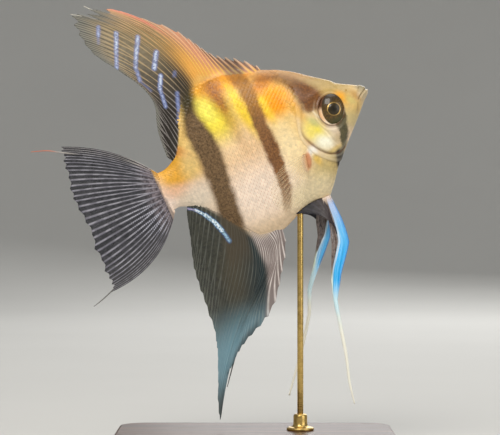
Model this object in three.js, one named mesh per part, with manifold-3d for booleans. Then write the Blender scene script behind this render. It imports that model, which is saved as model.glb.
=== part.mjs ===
// A freshwater angelfish (Pterophyllum scalare), life size, as a still model on a display stand.
// Millimetres, +Z up. The origin is the centre of the stand base's underside, +X is the way the
// fish faces and +Y is its left side. The fish is laid out level in a frame of its own, where x runs
// from the tail-fin base (0) to the snout and z runs up from the axis of the tail stalk. It is then
// pitched nose-up on its rod. The body is made whole and parted into its named pieces by thin cuts.

import * as THREE from "three";
import { mergeVertices } from "three/addons/utils/BufferGeometryUtils.js";
import Module from "manifold-3d";

const wasm = await Module();
wasm.setup();

// --- Driving dimensions ---------------------------------------------------------------------
const SNOUT_X = 75.4; // snout tip, ahead of the tail-fin base
const BODY_END_X = -0.9; // where the flesh of the tail stalk ends
const PITCH = THREE.MathUtils.degToRad(25); // nose-up
const TAIL_BASE_X = -30; // the tail-fin base, from the stand's centre
const TAIL_BASE_HEIGHT = 86; // and above the table
const GAP = 0.3; // between neighbouring pieces

const EYE = { x: 61.9, z: 2.4, sideways: 3.75, radius: 4.9, depth: 2.9 };
const STALK_CUT_X = 8; // trunk to tail stalk
const COVER_DEPTH = 2.4; // how far from the mid-plane a gill cover starts

const FIN_EDGE = 0.5; // thickness of a fin at its margin
const FIN_ROOT = 1.4; // and along its base

const BASE = { length: 92, depth: 60, height: 8, corner: 10, bevel: 1.2 };
const ROD = { x: 15, radius: 1, socket: 4 };
const COLLAR = { radius: 4.5, flange: 1.2, boss: 2.3, height: 5.5 };

// The back and belly lines of the body, as [x, z] with x rising from tail to snout.
const BACK = [
  [-0.9, 7.6], [3, 7.3], [7, 8.9], [10, 12.1], [15.1, 19.2], [21.2, 25.1], [27, 28.3],
  [32, 28.8], [36.8, 27.4], [46.7, 23.6], [54.8, 19.1], [60.1, 14.9], [65.2, 11], [66.9, 9.2],
  [72.3, 6], [74.4, 4.8], [SNOUT_X, 2.6],
];
const BELLY = [
  [-0.9, -7.3], [2.2, -6.1], [6, -7.6], [11.2, -11.8], [16.9, -19.2], [22.1, -26],
  [26.5, -27.4], [30.9, -27.4], [37.9, -24.9], [42.9, -23.7], [48.5, -24], [52, -21.3],
  [56.1, -16.3], [60.8, -11.6], [68.6, -4.3], [73.2, 0.2], [74.9, 1.5], [SNOUT_X, 2.6],
];

// The widest half-width of the body's section at each x.
const HALF_WIDTH = [
  [-0.9, 1.3], [5, 1.9], [10, 2.5], [15, 3.2], [22, 4.3], [30, 5.4], [38, 6.1], [45, 6.5],
  [51, 6.75], [55, 6.65], [60, 6.1], [65, 5], [69, 3.9], [72.5, 3], [74.4, 2.1], [SNOUT_X, 0],
];

// The head ends behind the gill cover, at this x for each height: throat to nape.
const HEAD_CUT = [
  [-40, 62], [-17, 58.2], [-12.5, 53.6], [-8, 49.6], [-3.1, 48.1], [0.6, 48.7], [6.4, 50.3],
  [14, 52], [40, 50],
];
const GILL_COVER = [
  [53, 8.8], [49, 8.4], [46.6, 0], [46.6, -5], [49.6, -10.6], [54, -12.6], [58.6, -12.4],
  [58, -8.4], [56.3, -3], [55.4, 2.6], [54.6, 7],
];
const LOWER_JAW = [
  [78, 4.2], [75, 3], [71.1, 1.7], [69.9, 0.2], [69, -2.2], [67, -8], [76, -9],
];

// Fin rays from the front of each base to its rear end, or from top to bottom of the tail fin.
// A ray leaves the base at x (at z on the tail fin) and ends at its tip's x and z, and bow is how
// far it bends from its chord, as a share of its length.
const DORSAL_RAYS = [
  [46.6, 46, 25.2, 0], [44.6, 41.2, 30, 0], [41.4, 37.1, 32.8, 0], [38.2, 33.7, 35.5, 0],
  [35.2, 31.1, 39.4, 0.01], [32.4, 29.2, 43, 0.02], [30.2, 25.3, 48.8, 0.05],
  [28.4, 17.4, 56.2, 0.1], [27, 8.8, 63.6, 0.125], [25.8, 6.5, 62.6, 0.12],
  [24.6, 1.9, 67.4, 0.11], [23.4, -0.6, 65.6, 0.105], [22.2, -3.3, 67.2, 0.1],
  [20.6, -3.8, 60.8, 0.08], [18.4, -1.8, 52.5, 0.065], [16.1, 3.2, 44, 0.05],
  [13.6, 8.2, 35.5, 0.03], [11.4, 9.6, 28, 0.01], [9.2, 7, 19, 0], [7.3, 6.3, 10.4, 0],
];
const ANAL_RAYS = [
  [30.7, 29.9, -31, 0], [29.6, 27.4, -36, -0.02], [28.5, 24.6, -39.7, -0.05],
  [27.4, 22, -43.2, -0.08], [26.3, 18.4, -47.8, -0.11], [25.2, 14, -51.2, -0.13],
  [24.6, 7.9, -54.1, -0.13], [24, 2.7, -56, -0.13], [23.3, -0.8, -58.4, -0.125],
  [22.4, -3.9, -61.4, -0.12], [21.6, -5.9, -62.4, -0.11], [20.8, -9.7, -67.2, -0.095],
  [20.1, -14.9, -75.7, -0.08], [19.3, -12.7, -69.4, -0.07], [18.3, -9.9, -63.6, -0.06],
  [17.3, -6.3, -55.4, -0.045], [16.2, -4.4, -49.6, -0.025], [13.5, -3, -38.3, 0],
  [10.5, -1.7, -27.6, 0], [7.3, 1.6, -17.4, 0], [5.5, 4, -9.6, 0],
];
const TAIL_RAYS = [
  [7.4, -24.5, 28.6, 0.08], [6.2, -25.2, 25.4, 0.055], [4.8, -25.9, 20.6, 0.035],
  [3.2, -27.4, 14.4, 0.02], [1.4, -27.9, 8.5, 0.005], [-0.6, -27.6, 1, 0],
  [-2.4, -28, -6.5, -0.015], [-4.2, -27.7, -13.8, -0.045], [-5.9, -28, -19.2, -0.09],
  [-7, -29, -22, -0.13],
];

// Streamers: each runs along its points and tapers through its widths.
const TAIL_STREAMERS = [
  {
    points: [[-19, 0.2, 23.2], [-25.2, 0.6, 26.9], [-29, 0.8, 29.3], [-34, 1, 31.2]],
    widths: [1, 0.8, 0.6, FIN_EDGE],
  },
  {
    points: [[-23, 0, -20.8], [-28, 0, -21.8], [-31, 0.2, -22.3]],
    widths: [1.2, 0.8, FIN_EDGE],
  },
];
const ANAL_STREAMER = {
  points: [[3, 0, -53], [-3.4, 0.2, -61], [-8, 0.6, -66.6]],
  widths: [0.8, 0.8, FIN_EDGE],
};
const PELVIC_RIGHT = {
  points: [
    [48.3, -1.9, -24.5], [47.8, -3.8, -32.6], [46, -5.9, -40.6], [40.9, -8, -48],
    [37, -9.3, -55.4], [35.6, -10, -61], [32.7, -10.9, -72.8], [29.8, -11.3, -81.6],
    [28.4, -11.5, -88.2],
  ],
  widths: [2.6, 4, 5.4, 3.2, 1.3, 0.9, 0.7, 0.6, FIN_EDGE],
};
const PELVIC_LEFT = {
  points: [
    [46.6, 1.9, -24.7], [43.8, 3.6, -29.8], [41.9, 5.2, -35.1], [35.8, 7.4, -42.5],
    [30.3, 8.8, -49.1], [26.8, 9.9, -56.6], [19.8, 11, -66], [9.2, 11.8, -78.6],
  ],
  widths: [2.6, 4.2, 4.6, 2.8, 1.2, 0.8, 0.7, FIN_EDGE],
};

// The pectoral fin's base on the flank, and its rays from top to bottom: length, and the angle each
// trails below straight back. Lift is the angle it stands off the flank, and curl bends it back in.
const PECTORAL = {
  top: [47.6, -7.8],
  bottom: [46.2, -12.8],
  lengths: [9, 15, 18.5, 19, 17, 11],
  angles: [2, 12, 22, 33, 45, 58],
  lift: 24,
  curl: 0.012,
};

// --- Curves and solids ----------------------------------------------------------------------
// A smooth function through [x, value] pairs whose x rises.
function through(pairs) {
  const slopes = pairs.map((pair, i) => {
    const before = pairs[Math.max(i - 1, 0)];
    const after = pairs[Math.min(i + 1, pairs.length - 1)];
    return (after[1] - before[1]) / (after[0] - before[0]);
  });
  return (x) => {
    let i = 0;
    while (i < pairs.length - 2 && x > pairs[i + 1][0]) i += 1;
    const span = pairs[i + 1][0] - pairs[i][0];
    const t = THREE.MathUtils.clamp((x - pairs[i][0]) / span, 0, 1);
    const rise = t * t * (3 - 2 * t);
    const leave = t * (1 - t) * (1 - t) * span;
    const arrive = t * t * (t - 1) * span;
    const level = pairs[i][1] * (1 - rise) + pairs[i + 1][1] * rise;
    return level + slopes[i] * leave + slopes[i + 1] * arrive;
  };
}

// The same through values spaced evenly over 0 to 1.
function evenly(values) {
  return through(values.map((value, i) => [i / (values.length - 1), value]));
}

// Each column of a table as a smooth function of 0 to 1.
function columns(table) {
  return table[0].map((unused, k) => evenly(table.map((row) => row[k])));
}

function moveVertices(geometry, place) {
  const position = geometry.getAttribute("position");
  const point = new THREE.Vector3();
  for (let i = 0; i < position.count; i += 1) {
    point.fromBufferAttribute(position, i);
    place(point);
    position.setXYZ(i, point.x, point.y, point.z);
  }
  return geometry;
}

function solid(geometry) {
  const bare = geometry.clone();
  bare.deleteAttribute("normal");
  bare.deleteAttribute("uv");
  const merged = mergeVertices(bare, 1e-4);
  return new wasm.Manifold(
    new wasm.Mesh({
      numProp: 3,
      vertProperties: merged.getAttribute("position").array,
      triVerts: new Uint32Array(merged.index.array),
    }),
  );
}

function geometryOf(shape) {
  const mesh = shape.getMesh();
  const geometry = new THREE.BufferGeometry();
  geometry.setAttribute("position", new THREE.BufferAttribute(mesh.vertProperties, 3));
  geometry.setIndex(new THREE.BufferAttribute(mesh.triVerts, 1));
  geometry.computeVertexNormals();
  return geometry;
}

// A flat-sided block with an outline of [x, z] points, between two distances along Y.
function block(outline, from, to) {
  const shape = new THREE.Shape(outline.map(([x, z]) => new THREE.Vector2(x, z)));
  const geometry = new THREE.ExtrudeGeometry(shape, { depth: to - from, bevelEnabled: false });
  return solid(geometry.rotateX(Math.PI / 2).translate(0, to, 0));
}

// The outline moved outward all round.
function grown(outline, by) {
  const middle = [0, 1].map((k) => outline.reduce((sum, p) => sum + p[k], 0) / outline.length);
  return outline.map(([x, z]) => {
    const away = new THREE.Vector2(x - middle[0], z - middle[1]);
    away.setLength(away.length() + by);
    return [middle[0] + away.x, middle[1] + away.y];
  });
}

// A closed outline rounded through its points.
function rounded(outline) {
  const curve = new THREE.CatmullRomCurve3(
    outline.map(([x, z]) => new THREE.Vector3(x, 0, z)),
    true,
  );
  return curve.getPoints(outline.length * 2).slice(1).map((p) => [p.x, p.z]);
}

// --- Body -----------------------------------------------------------------------------------
const backLine = through(BACK);
const bellyLine = through(BELLY);
const widest = through(HALF_WIDTH);

// Half-width of the body at x, for a height of -1 (belly line) to 1 (back line).
function halfWidth(x, height) {
  return widest(x) * (1 - Math.abs(height) ** 2.3) ** 0.72;
}

function wholeBody() {
  const around = 30;
  const along = 36;
  const geometry = new THREE.SphereGeometry(1, around, along);
  return solid(
    moveVertices(geometry, (point) => {
      const row = (Math.acos(THREE.MathUtils.clamp(point.y, -1, 1)) / Math.PI) * along;
      const angle = Math.atan2(point.z, point.x);
      const share = Math.min(row / (along - 1), 1);
      const x = SNOUT_X - (SNOUT_X - BODY_END_X) * share ** 1.25;
      const atTip = row < 0.5 || row > along - 0.5;
      const height = atTip ? 0 : Math.cos(angle);
      const top = backLine(x);
      const bottom = bellyLine(x);
      const side = atTip || Math.abs(point.z) < 1e-9 ? 0 : Math.sign(point.z);
      point.set(
        x - (row > along - 0.5 ? 0.1 : 0),
        side * halfWidth(x, height),
        (top + bottom) / 2 + (height * (top - bottom)) / 2,
      );
    }),
  );
}

function ellipsoid(radius, depth, x, y, z) {
  const geometry = new THREE.SphereGeometry(1, 14, 9).rotateX(Math.PI / 2);
  return solid(geometry.scale(radius, depth, radius).translate(x, y, z));
}

// Everything ahead of (or behind) the cut at the back of the head, with x moved by a little.
function headBlock(shift) {
  const cut = through(HEAD_CUT);
  const steps = 12;
  const outline = [];
  for (let i = 0; i <= steps; i += 1) {
    const z = -34 + (68 * i) / steps;
    outline.push([cut(z) + shift, z]);
  }
  outline.push([90, 34], [90, -34]);
  return block(outline, -20, 20);
}

function rodInFishFrame(radius, bottom, top) {
  const geometry = new THREE.CylinderGeometry(radius, radius, top - bottom, 20);
  geometry.rotateX(Math.PI / 2).translate(ROD.x, 0, (top + bottom) / 2);
  geometry.translate(-TAIL_BASE_X, 0, -TAIL_BASE_HEIGHT).rotateY(PITCH);
  return solid(geometry);
}

// Height above the table of the belly line right over the rod.
function bellyHeight() {
  const ahead = ROD.x - TAIL_BASE_X;
  let x = ahead;
  for (let i = 0; i < 20; i += 1) x = (ahead + Math.sin(PITCH) * bellyLine(x)) / Math.cos(PITCH);
  return TAIL_BASE_HEIGHT + Math.sin(PITCH) * x + Math.cos(PITCH) * bellyLine(x);
}

function bodyPieces() {
  const body = wholeBody();
  const front = body.intersect(headBlock(0));
  const behind = body.subtract(headBlock(-GAP * 1.2));
  const stalkSide = block([[-9, -34], [STALK_CUT_X, -34], [STALK_CUT_X, 34], [-9, 34]], -20, 20);
  const trunkSide = block(
    [[STALK_CUT_X + GAP, -34], [90, -34], [90, 34], [STALK_CUT_X + GAP, 34]],
    -20,
    20,
  );
  const socket = rodInFishFrame(ROD.radius + GAP, 0, bellyHeight() + ROD.socket);
  const cover = rounded(GILL_COVER);
  const coverSlot = grown(cover, GAP);
  const jaw = block(LOWER_JAW, -20, 20);
  let head = front.subtract(block(grown(LOWER_JAW, GAP), -20, 20));
  const pieces = {};
  for (const [side, sign] of [["right", -1], ["left", 1]]) {
    const near = sign < 0 ? [-20, -COVER_DEPTH] : [COVER_DEPTH, 20];
    const nearSlot = sign < 0 ? [-20, GAP - COVER_DEPTH] : [COVER_DEPTH - GAP, 20];
    const y = sign * EYE.sideways;
    pieces["gill_cover_" + side] = front.intersect(block(cover, ...near));
    pieces["eye_" + side] = ellipsoid(EYE.radius, EYE.depth, EYE.x, y, EYE.z);
    head = head.subtract(block(coverSlot, ...nearSlot));
    head = head.subtract(ellipsoid(EYE.radius + GAP, EYE.depth + GAP, EYE.x, y, EYE.z));
  }
  pieces.head = head;
  pieces.lower_jaw = front.intersect(jaw);
  pieces.trunk = behind.intersect(trunkSide).subtract(socket);
  pieces.tail_stalk = behind.intersect(stalkSide);
  return pieces;
}

// --- Fins -----------------------------------------------------------------------------------
// A place on a ray, out 0 to 1 from base to tip. A fade of 1 bends it evenly, and more bends it
// nearer the base.
function onRay(base, tip, bow, out, fade) {
  const chord = new THREE.Vector2().subVectors(tip, base);
  const bend = new THREE.Vector2(chord.y, -chord.x).multiplyScalar(bow);
  const peak = (1 / (1 + fade)) * (fade / (1 + fade)) ** fade;
  const share = (out * (1 - out) ** fade) / peak;
  return base.clone().addScaledVector(chord, out).addScaledVector(bend, share);
}

// A fin of many rays: base gives the foot of a ray from the table's first column, facing is the
// side that the sheet's front lies on, spines and their share of the fin give its sawn front edge.
function rayedFin({ rays, base, facing, across, out, fade, spines, spineShare, notch, wave }) {
  const [foot, tipX, tipZ, bow] = columns(rays);
  const geometry = new THREE.BoxGeometry(1, 1, 1, across, out, 1);
  return solid(
    moveVertices(geometry, (point) => {
      const u = point.x + 0.5;
      const v = point.y + 0.5;
      const saw = u < spineShare ? Math.sin((Math.PI * spines * u) / spineShare) ** 2 : 0;
      const start = base(foot(u));
      const tip = new THREE.Vector2(tipX(u), tipZ(u));
      const place = onRay(start, tip, bow(u), v * (1 - notch * saw), fade);
      const thick = THREE.MathUtils.lerp(FIN_ROOT, FIN_EDGE, Math.min(v * 2.2, 1));
      point.set(place.x, wave(u, v) + facing * point.z * thick, place.y);
    }),
  );
}

// A tapering strip along points [x, y, z], flat to the side of the fish.
function streamer({ points, widths }, segments) {
  const curve = new THREE.CatmullRomCurve3(points.map((p) => new THREE.Vector3(...p)));
  const width = evenly(widths);
  const sideways = new THREE.Vector3(0, 1, 0);
  const geometry = new THREE.BoxGeometry(1, 1, 1, 2, segments, 1);
  return solid(
    moveVertices(geometry, (point) => {
      const v = point.y + 0.5;
      const across = point.x * width(v);
      const thick = THREE.MathUtils.lerp(FIN_ROOT, FIN_EDGE, Math.min(v * 3, 1));
      const edge = curve.getTangent(v).cross(sideways).normalize();
      const offset = point.z * thick;
      point.copy(curve.getPoint(v)).addScaledVector(edge, across).addScaledVector(sideways, offset);
    }),
  );
}

function dorsalFin() {
  return rayedFin({
    rays: DORSAL_RAYS,
    base: (x) => new THREE.Vector2(x, backLine(x) + GAP),
    facing: 1,
    across: 38,
    out: 6,
    fade: 1,
    spines: 7,
    spineShare: 14 / 38,
    notch: 0.12,
    wave: (u, v) => 1.1 * v * v * Math.sin(5 * u + 0.6),
  });
}

function analFin() {
  const fin = rayedFin({
    rays: ANAL_RAYS,
    base: (x) => new THREE.Vector2(x, bellyLine(x) - GAP),
    facing: -1,
    across: 40,
    out: 6,
    fade: 3,
    spines: 5,
    spineShare: 10 / 40,
    notch: 0.06,
    wave: (u, v) => 1.2 * v * v * Math.sin(4.4 * u + 3.6),
  });
  return fin.add(streamer(ANAL_STREAMER, 5));
}

function tailFin() {
  let fin = rayedFin({
    rays: TAIL_RAYS,
    base: (z) => new THREE.Vector2(BODY_END_X - 0.1 - GAP, z),
    facing: 1,
    across: 27,
    out: 6,
    fade: 1,
    spines: 0,
    spineShare: 0,
    notch: 0,
    wave: (u, v) => 1.3 * v * v * Math.sin(4 * u + 1),
  });
  for (const strip of TAIL_STREAMERS) fin = fin.add(streamer(strip, 6));
  return fin;
}

function pectoralFin(sign) {
  const length = evenly(PECTORAL.lengths);
  const angle = evenly(PECTORAL.angles);
  const lift = THREE.MathUtils.degToRad(PECTORAL.lift);
  const geometry = new THREE.BoxGeometry(1, 1, 1, 10, 5, 1);
  return solid(
    moveVertices(geometry, (point) => {
      const u = point.x + 0.5;
      const v = point.y + 0.5;
      const x = THREE.MathUtils.lerp(PECTORAL.top[0], PECTORAL.bottom[0], u);
      const z = THREE.MathUtils.lerp(PECTORAL.top[1], PECTORAL.bottom[1], u);
      const middle = (backLine(x) + bellyLine(x)) / 2;
      const height = (z - middle) / (backLine(x) - middle);
      const out = length(u) * v;
      const trail = THREE.MathUtils.degToRad(angle(u));
      const away = halfWidth(x, height) + 2 * GAP + FIN_EDGE / 2 + Math.sin(lift) * out;
      const curl = PECTORAL.curl * out * out;
      point.set(
        x - Math.cos(trail) * Math.cos(lift) * out,
        sign * (away - curl) + point.z * FIN_EDGE,
        z - Math.sin(trail) * Math.cos(lift) * out,
      );
    }),
  );
}

// --- Stand ----------------------------------------------------------------------------------
function standBase() {
  const { length, depth, height, corner, bevel } = BASE;
  const halfLength = length / 2 - bevel;
  const halfDepth = depth / 2 - bevel;
  const shape = new THREE.Shape();
  shape.moveTo(-halfLength + corner, -halfDepth);
  shape.lineTo(halfLength - corner, -halfDepth);
  shape.absarc(halfLength - corner, -halfDepth + corner, corner, -Math.PI / 2, 0, false);
  shape.absarc(halfLength - corner, halfDepth - corner, corner, 0, Math.PI / 2, false);
  shape.absarc(-halfLength + corner, halfDepth - corner, corner, Math.PI / 2, Math.PI, false);
  shape.absarc(-halfLength + corner, -halfDepth + corner, corner, Math.PI, Math.PI * 1.5, false);
  const geometry = new THREE.ExtrudeGeometry(shape, {
    depth: height - 2 * bevel,
    bevelThickness: bevel,
    bevelSize: bevel,
    bevelSegments: 1,
    curveSegments: 5,
  });
  return solid(geometry.translate(0, 0, bevel));
}

// The rod stands on the base inside its collar and ends in a socket in the belly.
function standRod() {
  const bottom = BASE.height + GAP;
  const top = bellyHeight() + ROD.socket - GAP;
  const geometry = new THREE.CylinderGeometry(ROD.radius, ROD.radius, top - bottom, 20);
  return solid(geometry.rotateX(Math.PI / 2).translate(ROD.x, 0, (top + bottom) / 2));
}

function standCollar() {
  const bore = ROD.radius + GAP;
  const { radius, flange, boss, height } = COLLAR;
  const profile = [
    [bore, 0], [radius, 0], [radius, flange * 0.7], [radius - 0.5, flange], [boss + 0.6, flange],
    [boss, flange + 0.7], [boss, height - 0.5], [boss - 0.5, height], [bore, height], [bore, 0],
  ];
  const geometry = new THREE.LatheGeometry(
    profile.map(([r, z]) => new THREE.Vector2(r, z)),
    18,
  );
  return solid(geometry.rotateX(Math.PI / 2).translate(ROD.x, 0, BASE.height + GAP));
}

// --- The model ------------------------------------------------------------------------------
const FLESH = { color: 0xe2c89c, roughness: 0.45, metalness: 0 };
const GOLD = { color: 0xd9b35a, roughness: 0.4, metalness: 0 };
const FIN = { color: 0x6f6a5e, roughness: 0.5, metalness: 0 };
const FIN_BLUE = { color: 0x7fb7d8, roughness: 0.45, metalness: 0 };
const FIN_CLEAR = { color: 0xe6dcc6, roughness: 0.4, metalness: 0 };
const EYE_LENS = { color: 0x2a221c, roughness: 0.08, metalness: 0 };
const WOOD = { color: 0x3b2417, roughness: 0.45, metalness: 0 };
const METAL = { color: 0xb9a06a, roughness: 0.3, metalness: 1 };

const LOOKS = {
  head: GOLD,
  lower_jaw: GOLD,
  gill_cover_right: GOLD,
  gill_cover_left: GOLD,
  trunk: FLESH,
  tail_stalk: FLESH,
  eye_right: EYE_LENS,
  eye_left: EYE_LENS,
};

function mesh(name, shape, look) {
  const made = new THREE.Mesh(geometryOf(shape), new THREE.MeshStandardMaterial(look));
  made.name = name;
  return made;
}

const fish = new THREE.Group();
fish.rotation.y = -PITCH;
fish.position.set(TAIL_BASE_X, 0, TAIL_BASE_HEIGHT);
for (const [name, shape] of Object.entries(bodyPieces())) fish.add(mesh(name, shape, LOOKS[name]));
fish.add(mesh("dorsal_fin", dorsalFin(), FIN));
fish.add(mesh("anal_fin", analFin(), FIN));
fish.add(mesh("tail_fin", tailFin(), FIN));
fish.add(mesh("pelvic_fin_right", streamer(PELVIC_RIGHT, 22), FIN_BLUE));
fish.add(mesh("pelvic_fin_left", streamer(PELVIC_LEFT, 22), FIN_BLUE));
fish.add(mesh("pectoral_fin_right", pectoralFin(-1), FIN_CLEAR));
fish.add(mesh("pectoral_fin_left", pectoralFin(1), FIN_CLEAR));

const model = new THREE.Group();
model.add(fish);
model.add(mesh("stand_base", standBase(), WOOD));
model.add(mesh("stand_rod", standRod(), METAL));
model.add(mesh("stand_collar", standCollar(), METAL));

export default model;
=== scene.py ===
import math

import bmesh
import bpy
import numpy as np
from mathutils import Matrix, Vector


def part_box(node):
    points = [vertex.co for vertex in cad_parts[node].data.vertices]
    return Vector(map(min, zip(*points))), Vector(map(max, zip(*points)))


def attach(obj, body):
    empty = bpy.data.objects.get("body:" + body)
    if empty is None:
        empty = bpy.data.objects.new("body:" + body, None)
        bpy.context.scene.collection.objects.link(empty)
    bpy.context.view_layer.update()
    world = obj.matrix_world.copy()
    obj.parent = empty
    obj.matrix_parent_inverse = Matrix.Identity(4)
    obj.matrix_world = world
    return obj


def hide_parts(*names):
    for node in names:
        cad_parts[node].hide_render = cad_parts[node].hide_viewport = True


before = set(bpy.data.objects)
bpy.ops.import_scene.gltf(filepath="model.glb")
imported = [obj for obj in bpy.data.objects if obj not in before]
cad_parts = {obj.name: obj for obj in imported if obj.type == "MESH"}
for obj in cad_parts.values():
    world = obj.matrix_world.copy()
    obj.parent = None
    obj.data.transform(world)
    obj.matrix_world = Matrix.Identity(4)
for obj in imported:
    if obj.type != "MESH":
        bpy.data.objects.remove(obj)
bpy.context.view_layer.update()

# ---- Camera ----
# A long lens, level with the middle of the fish and square to its right side, so that the
# sheet of the body shows at its true proportions.
VIEW_DISTANCE = 0.75
VIEW_WIDTH = 0.165
lens = bpy.data.cameras.new("camera")
lens.sensor_width = 36
lens.lens = 36 * VIEW_DISTANCE / VIEW_WIDTH
lens.clip_start = 0.02
camera = bpy.data.objects.new("camera", lens)
camera.location = (-0.0016, -VIEW_DISTANCE, 0.07825)
camera.rotation_euler = (math.pi / 2, 0, 0)
bpy.context.collection.objects.link(camera)
bpy.context.scene.camera = camera
bpy.context.scene.view_settings.view_transform = "Standard"

# ---- The body's form ----
# The fish is a deep, thin disc. It is laid out level in millimetres, x from the tail-fin base to
# the snout and z up from the axis of the tail stalk, then pitched nose-up over its stand.
PITCH = math.radians(25)
TAIL_BASE = (-0.030, 0, 0.086)
STANCE = (
    Matrix.Translation(TAIL_BASE)
    @ Matrix.Rotation(-PITCH, 4, "Y")
    @ Matrix.Scale(0.001, 4)
)
SNOUT_X = 75.4
BODY_END_X = -0.9
BACK = [
    (-0.9, 7.6), (3, 7.3), (7, 8.9), (10, 12.1), (15.1, 19.2), (21.2, 25.1), (27, 28.3), (32, 28.8),
    (36.8, 27.4), (46.7, 23.6), (54.8, 19.1), (60.1, 14.9), (65.2, 11), (66.9, 9.2), (72.3, 6),
    (74.4, 4.8), (SNOUT_X, 2.6),
]
BELLY = [
    (-0.9, -7.3), (2.2, -6.1), (6, -7.6), (11.2, -11.8), (16.9, -19.2), (22.1, -26), (26.5, -27.4),
    (30.9, -27.4), (37.9, -24.9), (42.9, -23.7), (48.5, -24), (52, -21.3), (56.1, -16.3),
    (60.8, -11.6), (68.6, -4.3), (73.2, 0.2), (74.9, 1.5), (SNOUT_X, 2.6),
]
HALF_WIDTH = [
    (-0.9, 1.3), (5, 1.9), (10, 2.5), (15, 3.2), (22, 4.3), (30, 5.4), (38, 6.1), (45, 6.5),
    (51, 6.75), (55, 6.65), (60, 6.1), (65, 5), (69, 3.9), (72.5, 3), (74.4, 2.1), (SNOUT_X, 0),
]
EYE_X, EYE_Z = 61.5, 1.9


def through(pairs):
    places, values = np.array(pairs, float).T
    order = np.arange(len(places))
    before, after = np.maximum(order - 1, 0), np.minimum(order + 1, len(places) - 1)
    slopes = (values[after] - values[before]) / (places[after] - places[before])

    def value(x):
        x = np.asarray(x, float)
        i = np.searchsorted(places[1:-1], x, side="left")
        span = places[i + 1] - places[i]
        t = np.clip((x - places[i]) / span, 0, 1)
        rise = t * t * (3 - 2 * t)
        bend = slopes[i] * t * (1 - t) ** 2 + slopes[i + 1] * t * t * (t - 1)
        return values[i] * (1 - rise) + values[i + 1] * rise + bend * span

    return value


def evenly(values):
    return through([(i / (len(values) - 1), v) for i, v in enumerate(values)])


def ease(start, end, value):
    t = np.clip((value - start) / (end - start), 0, 1)
    return t * t * (3 - 2 * t)


def swell(distance, width):
    return np.exp(-((distance / width) ** 2))


# Distance to a line of points, which side of it a place is on, and how far along it.
def beside(x, z, line):
    best = np.full(np.shape(x), 1e9)
    side = np.ones(np.shape(x))
    along = np.zeros(np.shape(x))
    for i, ((ax, az), (bx, bz)) in enumerate(zip(line, line[1:])):
        dx, dz = bx - ax, bz - az
        t = np.clip(((x - ax) * dx + (z - az) * dz) / (dx * dx + dz * dz), 0, 1)
        off_x, off_z = x - ax - t * dx, z - az - t * dz
        far = np.hypot(off_x, off_z)
        closer = far < best
        best = np.where(closer, far, best)
        side = np.where(closer, np.sign(dx * off_z - dz * off_x), side)
        along = np.where(closer, (i + t) / (len(line) - 1), along)
    return best, side, along


def smooth_line(points, steps=8):
    xs, zs = (evenly([p[k] for p in points]) for k in (0, 1))
    shares = np.linspace(0, 1, steps * (len(points) - 1) + 1)
    return list(zip(xs(shares), zs(shares)))


def taper(along, start=0.12, end=0.12):
    return ease(0, start, along) * ease(0, end, 1 - along)


back_line, belly_line, widest = through(BACK), through(BELLY), through(HALF_WIDTH)


def half_width(x, height):
    return widest(x) * (1 - np.abs(height) ** 2.3) ** 0.72


# ---- Skin ----
# One unbroken hide from the lips to the tail-fin root, over the flanks, the jaws and the gill
# covers. It is cast whole, then the orbit, mouth, nostril, gill cover and fin bases are worked in.
SKIN_ROUND, SKIN_ROWS = 320, 308
COAT_DEPTH = 0.17
MAP_MARGIN, MAP_SPAN = 0.02, 0.95
EYE_TURN, ORBIT_HALF_LONG, ORBIT_HALF_HIGH = 18, 4.2, 5.05
NOSTRIL_X, NOSTRIL_Z = 68.7, 5.5
LOBE_X, LOBE_Z, LOBE_TURN = 47.7, -10.1, 17
ROW_PLACES = [(0, 0), (0.02, 0.003), (0.05, 0.0135), (0.565, 0.346), (0.97, 0.965), (1, 1)]
GILL_EDGE = smooth_line([
    (53.9, 7.2), (52.6, 4.9), (51, 2), (49.9, -0.7), (49.9, -2.9), (51.3, -6.2), (53.1, -8.9),
    (55.3, -10.9), (57.9, -11.7), (60.2, -11.1), (61.4, -9.9),
])
GILL_SKIRT = smooth_line([
    (51.6, 8.6), (49.9, 4.6), (48.7, 0.6), (48.2, -3.1), (49.5, -7.6), (51.4, -10.6),
    (54, -13.2), (57.2, -14.8), (60, -13.6),
])
CHEEK_RIDGE = smooth_line([(55.8, 4.4), (56.1, 2.6), (57.1, 0.7), (58.3, -1.5), (60.2, -3.2)])
CHEEK_CREASE = smooth_line([
    (54.7, 3.2), (55.7, -0.4), (57, -3.6), (57.9, -6.3), (58.6, -8.9), (60.6, -10.2),
])
MOUTH = smooth_line([
    (75.9, 3.6), (74.9, 3.35), (73.6, 2.75), (72.3, 1.95), (71.4, 1.25), (71.1, 0.5),
])
UPPER_LIP_FOLD = smooth_line([(73.3, 6.3), (72.8, 4.9), (72.2, 3.4), (71.3, 2.2), (70.6, 0.9)])
LOWER_LIP_FOLD = smooth_line([(75.2, 1.3), (74.2, 1.15), (73, 0.7), (72, 0.2)])
JAW_FOLD = smooth_line([(70.9, 0.7), (70.3, -0.7), (69.5, -2.2), (68.3, -3.4)])
CHIN_FOLDS = [
    smooth_line([(52, -12.2), (54.6, -14.3), (57.4, -15.4), (59.6, -13.9)]),
    smooth_line([(64.6, -6.4), (62.9, -8.6), (61.2, -10.6)]),
]


# A place as seen from a centre, along axes turned by an angle in degrees.
def turned_from(x, z, centre_x, centre_z, turn):
    dx, dz = x - centre_x, z - centre_z
    cos, sin = math.cos(math.radians(turn)), math.sin(math.radians(turn))
    return dx * cos - dz * sin, dx * sin + dz * cos


def from_eye(x, z):
    across, upright = turned_from(x, z, EYE_X, EYE_Z, EYE_TURN)
    across, upright = across / ORBIT_HALF_LONG, upright / ORBIT_HALF_HIGH
    return across, upright, np.hypot(across, upright)


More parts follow.
